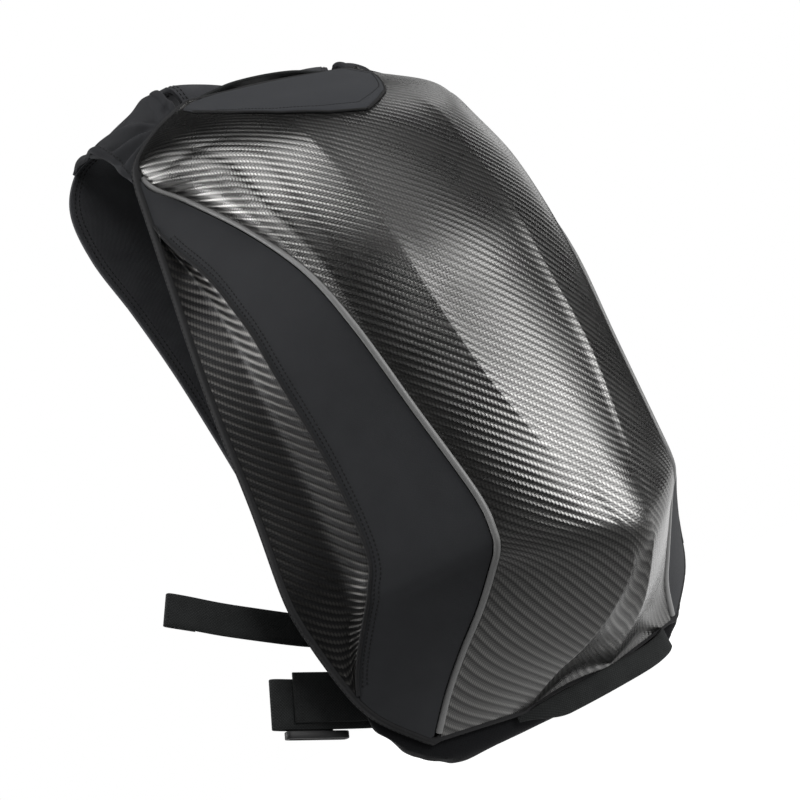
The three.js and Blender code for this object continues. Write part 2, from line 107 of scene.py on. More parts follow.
# Angles in degrees over which an edge is shaded sharp
SHARP_PLASTIC, SHARP_ROLL, SHARP_WALL, SHARP_SHEET, NEVER_SHARP = 30, 50, 60, 70, 180

# Sections of the right half from the top edge down: the rim, the shell's border, the flank's
# corner, the ridge, the middle, the height of the ridge's lip, and the inset seam's share of the
# way from the rim to the piping
STATION_COLUMNS = (
    "rim_x", "rim_z", "edge_x", "edge_y", "edge_z", "corner_x", "corner_y",
    "ridge_x", "ridge_y", "ridge_z", "mid_y", "mid_z", "lip", "seam",
)
STATION_ROWS = (
    (73, 476, 73, -4.5, 476, 56, -4.5, 36, -4.5, 477, -4.5, 478, 0, -0.3),
    (104, 460, 104, -4.5, 460, 93, -27, 46, -36, 452, -40, 450, 0, -0.3),
    (128, 440, 128, -4.5, 440, 116, -49, 50, -60, 432, -65, 430, 0, -0.3),
    (134, 424, 129, -6, 420, 121, -65, 52, -78, 412, -83, 410, 0.8, -0.3),
    (136.5, 404, 117, -23, 396, 119, -78, 53, -94, 386, -99, 384, 2.2, -0.12),
    (143, 348, 106.5, -58, 353, 115, -96, 52, -109, 343, -115, 340, 3, 0.33),
    (149, 297, 99.5, -89, 306, 96, -112, 49.5, -122, 297, -128, 294, 3, 0.44),
    (153, 252, 94, -104, 258, 84, -119, 47, -127, 252, -133, 250, 2.6, 0.46),
    (156.5, 188, 85, -111, 193, 74, -127, 42, -135, 190, -140, 188, 1.6, 0.48),
    (162, 130, 76.5, -118, 130, 64, -135, 28, -142.5, 128, -147, 126, 0.6, 0.45),
    (161, 108, 76, -117, 105, 58, -138, 20, -147, 98, -151, 96, 0, 0.37),
    (159, 97, 76.5, -112, 94.5, 52, -138, 14, -149, 72, -151, 67, 0, 0.31),
    (156, 82, 77.5, -101, 86, 48, -127, 8, -138, 51, -136, 52, 0, 0.22),
    (151, 62, 83, -78, 68, 52, -101, 15, -105, 30, -101, 34, 0, 0.08),
    (145, 45, 91, -52, 50, 58, -72, 22.5, -74, 18, -70, 23, 0, -0.05),
    (134, 29, 98.5, -27, 31, 65, -40, 31, -43, 10, -40, 14.5, 0, -0.2),
    (110, 6, 108.4, -4.5, 7, 72, -4.5, 37, -4.5, -3, -4.5, 0, 0, -0.2),
)
LAST = len(STATION_ROWS) - 1

# The station at which the piping leaves the binding
PIPING_START = 3.0


def bag_origin() -> np.ndarray:
    """Where the middle of the rim's plane lies in the part's frame, in metres."""
    low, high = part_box("shell")
    binding_low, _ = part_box("edge_binding")
    return np.array([(low.x + high.x) / 2, binding_low.y - BINDING_FRONT_Y * MM, -FLOOR_Z * MM])


ORIGIN = bag_origin()


def placed(points: np.ndarray) -> np.ndarray:
    """Points of the tables' frame in metres of the part's frame."""
    return np.asarray(points, float) * MM + ORIGIN


def unit(vectors: np.ndarray) -> np.ndarray:
    """Vectors scaled to length one."""
    length = np.linalg.norm(vectors, axis=-1, keepdims=True)
    return vectors / np.maximum(length, TINY)


def mirrored(points: np.ndarray, side: Side) -> np.ndarray:
    """Points of the right half on the given side."""
    return points * np.array([side.value, 1.0, 1.0])


def smooth_curve(points: np.ndarray, at: np.ndarray) -> np.ndarray:
    """A smooth curve through rows of points.

    Args:
        points: One row for each whole parameter value.
        at: Parameter values from 0 to the last row's number.

    Returns:
        One row of coordinates for each value.
    """
    points = np.asarray(points, float)
    at = np.asarray(at, float)
    ends = (2 * points[0] - points[1], 2 * points[-1] - points[-2])
    rows = np.vstack([ends[0], points, ends[1]])
    index = np.clip(np.floor(at).astype(int), 0, len(points) - 2)
    w = (at - index)[:, None]
    before, here, after, beyond = (rows[index + k] for k in range(4))
    leave, arrive = (after - before) / 2, (beyond - here) / 2
    square = -3 * here + 3 * after - 2 * leave - arrive
    cube = 2 * here - 2 * after + leave + arrive
    return here + leave * w + square * w**2 + cube * w**3


def ramp(values: np.ndarray, low: float, high: float) -> np.ndarray:
    """A soft step from 0 to 1 between two values."""
    share = np.clip((values - low) / (high - low), 0, 1)
    return share * share * (3 - 2 * share)


def mixed(ends: Pair, share: np.ndarray) -> np.ndarray:
    """Values at shares of the way from one end to the other."""
    return ends[0] + (ends[1] - ends[0]) * share


def spread(first: float, last: float, count: int) -> np.ndarray:
    """Evenly spaced values with both ends."""
    return np.linspace(first, last, count + 1)


def ringed(rows: np.ndarray) -> np.ndarray:
    """Rows with the first one again at the end."""
    return np.concatenate([rows, rows[:1]])


def full_turn(count: int) -> np.ndarray:
    """Angles evenly round a circle."""
    return 2 * math.pi * np.arange(count) / count


def squared_arc(turn: np.ndarray, power: float) -> tuple[np.ndarray, ...]:
    """Cosines and sines of angles, drawn out towards a square by a power under one."""
    return tuple(np.sign(f(turn)) * np.abs(f(turn)) ** power for f in (np.cos, np.sin))


def smoothed(grid: np.ndarray, axis: int, passes: int) -> np.ndarray:
    """A grid whose inner points along one axis are evened out, with its ends kept.

    Args:
        grid: Points or heights.
        axis: The axis along which they are evened out.
        passes: How often.

    Returns:
        The evened grid.
    """
    grid = np.moveaxis(grid.copy(), axis, 0)
    for _ in range(passes):
        grid[1:-1] = (grid[:-2] + 2 * grid[1:-1] + grid[2:]) / 4
    return np.moveaxis(grid, 0, axis)


def grid_normals(grid: np.ndarray, inside: np.ndarray) -> np.ndarray:
    """Unit normals of a grid of points.

    Args:
        grid: Rows and columns of points.
        inside: A point that the normals face away from.

    Returns:
        One normal for each point.
    """
    normals = unit(np.cross(np.gradient(grid, axis=0), np.gradient(grid, axis=1)))
    turn = np.sign(np.sum(normals * (grid - inside), axis=-1, keepdims=True))
    return normals * np.where(turn == 0, 1, turn)


def run_lengths(grid: np.ndarray, axis: int) -> np.ndarray:
    """Lengths along one axis of a grid from its first point.

    Args:
        grid: Points in rows, or in rows and columns.
        axis: The axis to run along.

    Returns:
        One length for each point.
    """
    steps = np.linalg.norm(np.diff(grid, axis=axis), axis=-1)
    start = np.zeros_like(np.take(steps, [0], axis=axis))
    return np.concatenate([start, np.cumsum(steps, axis=axis)], axis=axis)


def cloth_uv(grid: np.ndarray, row: int, column: int) -> np.ndarray:
    """UVs in metres that lay a cloth on a grid from one of its points outwards.

    Args:
        grid: Rows and columns of points in millimetres.
        row: The row on which the crosswise count starts.
        column: The column on which the lengthwise count starts.

    Returns:
        Crosswise and lengthwise lengths for each point.
    """
    across = run_lengths(grid, 1)
    along = run_lengths(grid, 0)
    across = across - across[:, [column]]
    along = along - along[[row], :]
    return np.stack([across, along], axis=-1) * MM


@dataclass
class BagForm:
    """The bag's outer surfaces, worked out from the station table.

    Places across the shell run from 0 on its border, over 1 at the ridge and 2 on top of the
    ridge's lip, to the middle.
    """

    lip_width: float = 5.0
    lip_share: float = 0.25
    lip_rise: Pair = (0.45, 0.25)
    lip_fade: Pair = (5.0, 7.2)
    lip_power: int = 6
    crest_rise: float = 2.2
    crest_span: tuple[float, float, float, float] = (2.6, 4.0, 7.5, 10.5)
    crest_power: int = 13
    side_bulge: float = 6.0
    seam_space: float = 1.0
    middle: float = 3.0
    halvings: int = 26
    columns: dict[str, np.ndarray] = field(init=False)

    def __post_init__(self) -> None:
        """Reads the station table into named columns."""
        table = np.array(STATION_ROWS, float)
        self.columns = dict(zip(STATION_COLUMNS, table.T))

    def line(self, stations: np.ndarray, *names: str) -> np.ndarray:
        """A smooth line through columns of the table; an empty name gives zeros.

        Args:
            stations: Places along the station table.
            *names: One column for each coordinate.

        Returns:
            One row for each station.
        """
        zeros = np.zeros(LAST + 1)
        points = np.stack([self.columns[n] if n else zeros for n in names], axis=-1)
        return smooth_curve(points, stations)

    def rim(self, stations: np.ndarray) -> np.ndarray:
        """Points of the rim.

        Args:
            stations: Places along the station table.

        Returns:
            One row for each station.
        """
        line = self.line(stations, "rim_x", "", "rim_z")
        line[:, 1] = RIM_Y
        return line

    def edge(self, stations: np.ndarray) -> np.ndarray:
        """Points of the shell's border, which the piping follows."""
        return self.line(stations, "edge_x", "edge_y", "edge_z")

    def clear_share(self, stations: np.ndarray, towards: np.ndarray, distance: float) -> np.ndarray:
        """Share of the way from the border to given points, for a distance square to the border.

        Args:
            stations: One station for each point of the border.
            towards: The other points, one for each station.
            distance: The distance in millimetres.

        Returns:
            One share for each station.
        """
        step = 1e-3
        low = np.clip(stations - step, 0, LAST)
        high = np.clip(stations + step, 0, LAST)
        tangent = unit(self.edge(high) - self.edge(low))
        reach = towards - self.edge(stations)
        square = reach - tangent * np.sum(reach * tangent, axis=-1, keepdims=True)
        return distance / np.maximum(np.linalg.norm(square, axis=-1), LEAST_WIDTH)

    def shell_points(self, stations: np.ndarray, across: np.ndarray) -> np.ndarray:
        """Points of the shell's right half.

        Args:
            stations: One station for each point.
            across: One place across the shell for each point.

        Returns:
            One row for each point.
        """
        a = across[:, None]
        edge = self.edge(stations)
        ridge = self.line(stations, "ridge_x", "ridge_y", "ridge_z")
        corner = self.line(stations, "corner_x", "corner_y", "")
        corner[:, 2] = (edge[:, 2] + ridge[:, 2]) / 2
        mid = self.line(stations, "", "mid_y", "mid_z")
        rise = mixed(self.lip_rise, ramp(stations, *self.lip_fade))
        lip = np.maximum(self.line(stations, "", "lip", ""), 0) * rise[:, None]
        span = self.crest_span
        crest = self.crest_rise * ramp(stations, *span[:2]) * (1 - ramp(stations, *span[2:]))
        clear = self.clear_share(stations, corner, PIPING_RADIUS + CLEARANCE)
        start = edge + (corner - edge) * np.where(stations < PIPING_START, 0, clear)[:, None]
        top_x = ridge[:, 0] - np.minimum(self.lip_width, ridge[:, 0] * self.lip_share)

        def crown(x: np.ndarray) -> np.ndarray:
            """Points of the crowned plateau at a distance from the middle.

            Args:
                x: Distances from the middle plane.

            Returns:
                One row for each distance.
            """
            share = x / ridge[:, 0]
            point = mid + (ridge - mid) * (share**2)[:, None]
            point[:, 0] = x
            point[:, 1] -= crest * share**self.crest_power
            return point

        lip[:, 1] -= crest
        flank = ((1 - a) ** 2 * start + 2 * a * (1 - a) * corner + a * a * ridge
                 + lip * a**self.lip_power)
        step = ridge + lip + (crown(top_x) - ridge - lip) * (a - 1)
        plateau = crown(top_x * (self.middle - across))
        return np.where(a <= 1, flank, np.where(a <= 2, step, plateau))

    def shell(self, stations: np.ndarray, across: np.ndarray) -> np.ndarray:
        """The right half of the shell as a grid of stations by places across it."""
        rows, columns = np.meshgrid(stations, across, indexing="ij")
        return self.shell_points(rows.ravel(), columns.ravel()).reshape(*rows.shape, 3)

    def shell_at_x(self, x: np.ndarray, stations: np.ndarray) -> np.ndarray:
        """Points of the shell by station and distance from the middle plane.

        Args:
            x: Distances from the middle plane, below zero on the left.
            stations: One station for each distance.

        Returns:
            One row for each distance.
        """
        low, high = np.zeros_like(x), np.full_like(x, self.middle)
        for _ in range(self.halvings):
            half = (low + high) / 2
            outside = self.shell_points(stations, half)[:, 0] > np.abs(x)
            low, high = np.where(outside, half, low), np.where(outside, high, half)
        point = self.shell_points(stations, low)
        point[:, 0] *= np.where(x < 0, -1, 1)
        return point

    def side(self, stations: np.ndarray, shares: np.ndarray) -> np.ndarray:
        """A side panel's surface.

        Args:
            stations: Rows of the grid.
            shares: For each row, shares of the way from the rim to the piping.

        Returns:
            A grid of points.
        """
        rim, edge = self.rim(stations), self.edge(stations)
        outward = self.outward(stations)
        down = np.clip((stations - PIPING_START) / (LAST - PIPING_START), 0, 1)
        bulge = self.side_bulge * np.sin(math.pi * down)[:, None] * np.sin(math.pi * shares)
        point = rim[:, None] + (edge - rim)[:, None] * shares[..., None]
        return point + outward[:, None] * bulge[..., None]

    def outward(self, stations: np.ndarray) -> np.ndarray:
        """Directions square to the side panel, away from the bag.

        Args:
            stations: Places along the station table.

        Returns:
            One unit vector for each station.
        """
        rim, edge = self.rim(stations), self.edge(stations)
        square = [rim[:, 1] - edge[:, 1], edge[:, 0] - rim[:, 0], np.zeros(len(rim))]
        return unit(np.stack(square, axis=-1))

    def side_line(self, stations: np.ndarray, shares: np.ndarray) -> np.ndarray:
        """A line on a side panel's surface, with one share of the way for each station."""
        return self.side(stations, shares[:, None])[:, 0]

    def seam(self, stations: np.ndarray) -> np.ndarray:
        """The inset seam's share of the way from the rim to the piping."""
        return self.line(stations, "seam")[:, 0]

    def seam_clear(self, stations: np.ndarray) -> np.ndarray:
        """Share of a side panel's width that stays clear beside the seam.

        Args:
            stations: Places along the station table.

        Returns:
            One share for each station.
        """
        step = 0.05
        width = self.edge(stations) - self.rim(stations)
        behind, ahead = (self.side_line(s, self.seam(s))
                         for s in (stations - step, stations + step))
        tangent = unit(ahead - behind)
        square = width - tangent * np.sum(width * tangent, axis=-1, keepdims=True)
        return self.seam_space / np.maximum(np.linalg.norm(square, axis=-1), LEAST_WIDTH)


FORM = BagForm()


class MeshDraft:
    """Points, faces and corner UVs of a piece that is being drawn, in the tables' frame."""

    def __init__(self) -> None:
        """Starts an empty draft."""
        self.points: list[np.ndarray] = []
        self.faces: list[tuple[int, ...]] = []
        self.corners: list[Sequence[Sequence[float]]] = []
        self.count = 0

    def add_points(self, points: np.ndarray) -> np.ndarray:
        """Adds a grid of points and returns their numbers in the same layout.

        Args:
            points: The grid of points.

        Returns:
            The numbers.
        """
        points = np.asarray(points, float)
        ids = self.count + np.arange(points.size // 3).reshape(points.shape[:-1])
        self.points.append(points.reshape(-1, 3))
        self.count += ids.size
        return ids

    @staticmethod
    def cells(grid: np.ndarray) -> list[np.ndarray]:
        """The four corners of every cell of a grid, in turn."""
        return [grid[:-1, :-1], grid[:-1, 1:], grid[1:, 1:], grid[1:, :-1]]

    def add_quads(self, ids: np.ndarray, uv: np.ndarray, turned: bool = False) -> None:
        """Adds the quads of a grid.

        Args:
            ids: Point numbers in rows and columns.
            uv: UVs in the same layout.
            turned: Whether the faces look the other way.
        """
        quads = np.stack(self.cells(ids), axis=-1).reshape(-1, 4)
        corners = np.stack(self.cells(uv), axis=2).reshape(-1, 4, 2)
        if turned:
            quads, corners = quads[:, ::-1], corners[:, ::-1]
        self.faces.extend(map(tuple, quads.tolist()))
        self.corners.extend(corners.tolist())

    def add_wall(self, outer: np.ndarray, inner: np.ndarray, uv: np.ndarray) -> None:
        """Adds a closed wall between two grids of points.

        Args:
            outer: The wall's outer face.
            inner: Its inner face.
            uv: UVs of both faces.
        """
        far, near = self.add_points(outer), self.add_points(inner)
        self.add_quads(far, uv)
        self.add_quads(near, uv, turned=True)
        whole = slice(None)
        borders = (((0, whole), True), ((-1, whole), False),
                   ((whole, 0), False), ((whole, -1), True))
        for where, turned in borders:
            strip = np.stack([far[where], near[where]])
            self.add_quads(strip, np.stack([uv[where], uv[where]]), turned)

    def add_loft(self, loops: np.ndarray, ring: bool = False) -> None:
        """Adds a skin through closed loops, capped at its ends or closed into a ring.

        Args:
            loops: Loops of points in order.
            ring: Whether the last loop joins the first.
        """
        ids = self.add_points(loops)
        if ring:
            ids, loops = ringed(ids), ringed(loops)
        ids = np.hstack([ids, ids[:, :1]])
        wrapped = np.concatenate([loops, loops[:, :1]], axis=1)
        around = run_lengths(wrapped, 1)
        along = run_lengths(wrapped, 0).mean(axis=1, keepdims=True) + 0 * around
        uv = np.stack([around, along], axis=-1) * MM
        self.add_quads(ids, uv)
        if not ring:
            for row, turned in ((0, True), (-1, False)):
                cap = ids[row, :-1].tolist()
                self.faces.append(tuple(cap[::-1] if turned else cap))
                self.corners.append(uv[row, :-1].tolist())

    def finish(self, name: str, material: Material, sharp_deg: float) -> Object:
        """Makes the draft an object at the origin whose faces look outwards.

        Args:
            name: The object's name.
            material: Its finish.
            sharp_deg: The angle in degrees over which an edge is shaded sharp.

        Returns:
            The object.
        """
        mesh = bpy.data.meshes.new(name)
        mesh.from_pydata(placed(np.concatenate(self.points)).tolist(), [], self.faces)
        layer = mesh.uv_layers.new(name="cloth")
        flat = np.array([uv for face in self.corners for uv in face], np.float32)
        layer.uv.foreach_set("vector", flat.ravel())
        sketch = bmesh.new()
        sketch.from_mesh(mesh)
        bmesh.ops.recalc_face_normals(sketch, faces=sketch.faces)
        sketch.to_mesh(mesh)
        sketch.free()
        mesh.validate()
        shade(mesh, sharp_deg)
        mesh.materials.append(material)
        return linked(name, mesh)


def shade(mesh: bpy.types.Mesh, sharp_deg: float) -> None:
    """Shades a mesh smooth apart from edges over an angle.

    Args:
        mesh: The mesh.
        sharp_deg: The angle in degrees.
    """
    mesh.polygons.foreach_set("use_smooth", np.ones(len(mesh.polygons), bool))
    mesh.set_sharp_from_angle(angle=math.radians(sharp_deg))
    mesh.update()


def linked(name: str, data: bpy.types.ID) -> Object:
    """A new object of the scene for some data.

    Args:
        name: The object's name.
        data: Its mesh, lamp or camera.

    Returns:
        The object.
    """
    obj = bpy.data.objects.new(name, data)
    bpy.context.scene.collection.objects.link(obj)
    return obj


def evaluated_mesh(obj: Object) -> bpy.types.Mesh:
    """A plain mesh of an object with its modifiers applied."""
    graph = bpy.context.evaluated_depsgraph_get()
    return bpy.data.meshes.new_from_object(obj.evaluated_get(graph), depsgraph=graph)


def enlist(obj: Object, slot: Slot | None, *nodes: str) -> Object:
    """Makes an object a piece of the part.

    Args:
        obj: The object.
        slot: Not used.
        *nodes: Solids that it stands for.

    Returns:
        The same object.
    """
    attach(obj, BODY)
    if nodes:
        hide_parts(*nodes)
    LOG.info("%s: %d faces", obj.name, len(obj.data.polygons))
    return obj


def declare_sheet(obj: Object, grid: np.ndarray, held: str, *rests_on: str) -> None:
    """Logs the flat size that a piece of cloth's surface takes.

    Args:
        obj: The piece.
        grid: Its surface in rows and columns, in millimetres.
        held: Not used.
        *rests_on: Not used.
    """
    width, length = run_lengths(grid, 1)[:, -1].max(), run_lengths(grid, 0)[-1].max()
    LOG.info("%s: cut from %.0f x %.0f mm", obj.name, width, length)


class ShaderSketch:
    """Shorthand for one material's nodes."""

    def __init__(self, name: str) -> None:
        """Starts a material and finds its shader.

        Args:
            name: The material's name.
        """
        self.material = bpy.data.materials.new(name)
        self.material.use_nodes = True
        self.tree = self.material.node_tree
        self.shader = self.tree.nodes["Principled BSDF"]

    def add(self, kind: str, inputs: dict[str | int, object] | None = None,
            **settings: object) -> bpy.types.Node:
        """Adds a node.

        Args:
            kind: The node's type without its ShaderNode prefix.
            inputs: Values or sockets by input name or number.
            **settings: The node's own properties.

        Returns:
            The node.
        """
        node = self.tree.nodes.new("ShaderNode" + kind)
        for key, value in settings.items():
            setattr(node, key, value)
        for key, value in (inputs or {}).items():
            self.feed(node.inputs[key], value)
        return node

    def feed(self, socket: Socket, value: object) -> None:
        """Links a socket, or sets a plain value."""
        if isinstance(value, Socket):
            self.tree.links.new(value, socket)
        elif isinstance(value, tuple) and len(value) == 3 and socket.type == "RGBA":
            socket.default_value = (*value, 1)
        else:
            socket.default_value = value

    def math(self, operation: str, first: object, second: object = 0.0) -> Socket:
        """The result of one sum on values or sockets."""
        return self.add("Math", {0: first, 1: second}, operation=operation).outputs[0]

    def weighed(self, first: object, share: object, second: object, other: object) -> Socket:
        """The sum of two values or sockets, each times a share of its own."""
        return self.math("ADD", self.math("MULTIPLY", first, share),
                         self.math("MULTIPLY", second, other))

    def mix(self, share: object, first: object, second: object) -> Socket:
        """A blend of two colours."""
        node = self.add("Mix", {0: share, 6: first, 7: second}, data_type="RGBA")
        return node.outputs[2]

    def between(self, value: Socket, low: float, high: float) -> Socket:
        """A value from 0 to 1 spread over a range."""
        node = self.add("MapRange", {"Value": value, "To Min": low, "To Max": high})
        return node.outputs[0]

    def noise(self, vector: Socket, scale: float, detail: float) -> Socket:
        """Soft noise from 0 to 1."""
        return self.add("TexNoise", {"Vector": vector, "Scale": scale, "Detail": detail}).outputs[0]

    def uv(self) -> tuple[Socket, Socket]:
        """The piece's own UV map, as two numbers."""
        node = self.add("UVMap", uv_map="cloth")
        parts = self.add("SeparateXYZ", {0: node.outputs[0]})
        return parts.outputs[0], parts.outputs[1]

    def place(self) -> Socket:
        """Object coordinates in metres."""
        return self.add("TexCoord").outputs["Object"]

    def bump(self, height: Socket, strength: float, distance: float,
             normal: Socket | None = None) -> Socket:
        """A normal from a height.

        Args:
            height: The height, from 0 to 1.
            strength: The share of it that shows.
            distance: The height of 1 in metres.
            normal: A normal that is bumped already, if any.

        Returns:
            The bumped normal.
        """
        inputs: dict[str | int, object] = {
            "Height": height, "Strength": strength, "Distance": distance}
        if normal:
            inputs["Normal"] = normal
        return self.add("Bump", inputs).outputs[0]

    def dress(self, **inputs: object) -> Material:
        """Sets the shader's sockets, named with underscores, and returns the material."""
        for key, value in inputs.items():
            self.feed(self.shader.inputs[key.replace("_", " ")], value)
        return self.material


@dataclass(frozen=True)
class TwillFinish:
    """Moulded skin with the look of a two-by-two woven tow."""

    name: str = "carbon_twill"
    tow: float = 1.75 * MM
    repeat: float = 4.0
    warp: Colour = (0.3, 0.297, 0.288)
    weft: Colour = (0.22, 0.218, 0.213)
    gap: Colour = (0.012, 0.012, 0.013)
    gap_tone: float = 0.3
    # Painted shade along the troughs of the wales: the first of the next two fields is how dark it
    # gets, the second where in the trough it starts
    line: float = 0.6
    trough_shade_onset: float = 0.5
    flat_share: float = 0.4
    flatness: float = 0.5
    metallic: float = 0.95
    roughness: float = 0.27
    wear: Pair = (-0.04, 0.05)
    wear_noise: Pair = (38.0, 4.0)
    grooves: float = 0.72
    quarter_turn: float = 0.25
    wale_relief: float = 0.12 * MM
    tow_relief: float = 0.07 * MM

    def build(self) -> Material:
        """Lays floats of warp and weft two cells long, each grooved along its own run, with painted
        shade in the wale troughs.
        """
        s = ShaderSketch(self.name)
        u, v = s.uv()
        cell_u, cell_v = s.math("DIVIDE", u, self.tow), s.math("DIVIDE", v, self.tow)
        part_u, part_v = s.math("FRACT", cell_u), s.math("FRACT", cell_v)
        order = s.math("SUBTRACT", s.math("FLOOR", cell_u), s.math("FLOOR", cell_v))
        phase = s.math("FLOORED_MODULO", order, self.repeat)
        is_warp = s.math("LESS_THAN", phase, self.repeat / 2 - 0.5)
        is_weft = s.math("SUBTRACT", 1.0, is_warp)
        warp_run = s.math("ADD", s.math("SUBTRACT", 1.0, phase), part_v)
        weft_run = s.math("ADD", s.math("SUBTRACT", phase, 2.0), part_u)
        run = s.weighed(is_warp, warp_run, is_weft, weft_run)
        over = s.weighed(is_warp, part_u, is_weft, part_v)
        arch = s.math("SINE", s.math("MULTIPLY", run, math.pi / 2))
        crown = s.math("SINE", s.math("MULTIPLY", over, math.pi))
        wale = s.math("SINE", s.math("MULTIPLY", s.math("SUBTRACT", cell_u, cell_v), math.pi / 2))
        arched = s.math("ADD", s.math("MULTIPLY", arch, 1 - self.flat_share), self.flat_share)
        tows = s.math("MULTIPLY", s.math("POWER", crown, self.flatness), arched)
        # Painted shade: the colour darkens along the troughs of the wale relief, on top of the dark
        # gaps between the tows
        trough_shade_mask = s.between(s.math("MULTIPLY", wale, -1.0), self.trough_shade_onset, 1.0)
        trough_shade = s.math("SUBTRACT", 1.0, s.math("MULTIPLY", trough_shade_mask, self.line))
        shown = s.math("MULTIPLY", s.between(tows, self.gap_tone, 1.0), trough_shade)
        colour = s.mix(shown, self.gap, s.mix(is_warp, self.weft, self.warp))
        wear = s.noise(s.place(), *self.wear_noise)
        roughness = s.between(wear, *(self.roughness + change for change in self.wear))
        bumped = s.bump(tows, 1.0, self.tow_relief, s.bump(wale, 1.0, self.wale_relief / 2))
        tangent = s.add("Tangent", direction_type="UV_MAP", uv_map="cloth").outputs[0]
        return s.dress(Base_Color=colour, Roughness=roughness, Metallic=self.metallic,
                       Anisotropic=self.grooves, Tangent=tangent, Normal=bumped,
                       Anisotropic_Rotation=s.math("MULTIPLY", is_weft, self.quarter_turn))


@dataclass(frozen=True)
class FabricFinish:
    """Plain woven or knitted cloth, on object coordinates so that remeshed pads carry it too."""

    name: str
    light: Colour
    dark: Colour
    thread: float = 0.55 * MM
    relief: float = 0.12 * MM
    lay: Triple = (0.5, 0.35, 0.78)
    blotch_noise: Pair = (55.0, 5.0)
    grain_noise: Pair = (1600.0, 2.0)
    grain_tone: float = 0.4
    grain_relief: float = 0.8
    bump: float = 0.35
    roughness: float = 0.82
    wear: Pair = (-0.06, 0.06)
    sheen: float = 0.03
    sheen_roughness: float = 0.5
    gloss: float = 0.12

    def build(self) -> Material:
        """Crosses fine waves for the threads and blotches the colour."""
        s = ShaderSketch(self.name)
        place = s.place()
        turned = s.add("Mapping", {"Vector": place, "Rotation": self.lay}).outputs[0]
        parts = s.add("SeparateXYZ", {0: turned})
        turns = 2 * math.pi / self.thread
        waves = [s.math("SINE", s.math("MULTIPLY", parts.outputs[k], turns)) for k in range(3)]
        weave = s.math("MULTIPLY", s.math("MULTIPLY", waves[0], waves[1]), waves[2])
        blotch = s.noise(place, *self.blotch_noise)
        grain = s.noise(place, *self.grain_noise)
        tone = s.weighed(blotch, 1 - self.grain_tone, grain, self.grain_tone)
        height = s.math("ADD", weave, s.math("MULTIPLY", grain, self.grain_relief))
        roughness = s.between(blotch, *(self.roughness + change for change in self.wear))
        return s.dress(Base_Color=s.mix(tone, self.dark, self.light), Roughness=roughness,
                       Normal=s.bump(height, self.bump, self.relief), Sheen_Weight=self.sheen,
                       Sheen_Roughness=self.sheen_roughness, Specular_IOR_Level=self.gloss)


@dataclass(frozen=True)
class WebbingFinish:
    """Woven strap with ribs across it, read from the strap's own UVs."""

    name: str = "webbing"
    light: Colour = (0.03, 0.032, 0.032)
    dark: Colour = (0.003, 0.0035, 0.0035)
    rib: float = 2.0 * MM
    rib_tone: float = 0.45
    relief: float = 0.5 * MM
    bump: float = 0.5
    fade: Pair = (0.5, 1.3)
    fade_noise: Pair = (90.0, 4.0)
    roughness: float = 0.8
    gloss: float = 0.2

    def build(self) -> Material:
        """Weaves ribs over warp ends and greys them unevenly."""
        s = ShaderSketch(self.name)
        u, v = s.uv()
        turns = 2 * math.pi / self.rib
        ends = s.math("SINE", s.math("MULTIPLY", u, turns))
        half = s.math("MULTIPLY", s.math("GREATER_THAN", ends, 0.0), math.pi)
        picks = s.math("SINE", s.math("ADD", s.math("MULTIPLY", v, turns), half))
        height = s.weighed(picks, 0.5, s.math("ABSOLUTE", ends), 0.5)
        blotch = s.noise(s.place(), *self.fade_noise)
        tone = s.math("MULTIPLY", s.between(height, self.rib_tone, 1.0),
                      s.between(blotch, *self.fade))
        return s.dress(Base_Color=s.mix(tone, self.dark, self.light), Roughness=self.roughness,
                       Normal=s.bump(height, self.bump, self.relief), Specular_IOR_Level=self.gloss)


@dataclass(frozen=True)
class MouldedFinish:
    """Grained moulded plastic or vinyl."""

    name: str
    light: Colour
    dark: Colour
    roughness: float
    wear: Pair = (-0.08, 0.1)
    grain_noise: Pair = (900.0, 2.0)
    grain_tone: float = 0.4
    scuff_noise: Pair = (40.0, 5.0)
    relief: float = 0.05 * MM
    bump: float = 0.3

    def build(self) -> Material:
        """Speckles the colour and the gloss with fine grain."""
        s = ShaderSketch(self.name)
        place = s.place()
        speckle = s.noise(place, *self.grain_noise)
        scuff = s.noise(place, *self.scuff_noise)
        tone = s.weighed(speckle, self.grain_tone, scuff, 1 - self.grain_tone)
        roughness = s.between(scuff, *(self.roughness + change for change in self.wear))
        return s.dress(Base_Color=s.mix(tone, self.dark, self.light), Roughness=roughness,
                       Normal=s.bump(speckle, self.bump, self.relief))


def built(finish: TwillFinish | FabricFinish | WebbingFinish | MouldedFinish) -> Field:
    """A field that holds a finish's material, made with the object that has the field."""
    return field(default_factory=finish.build)


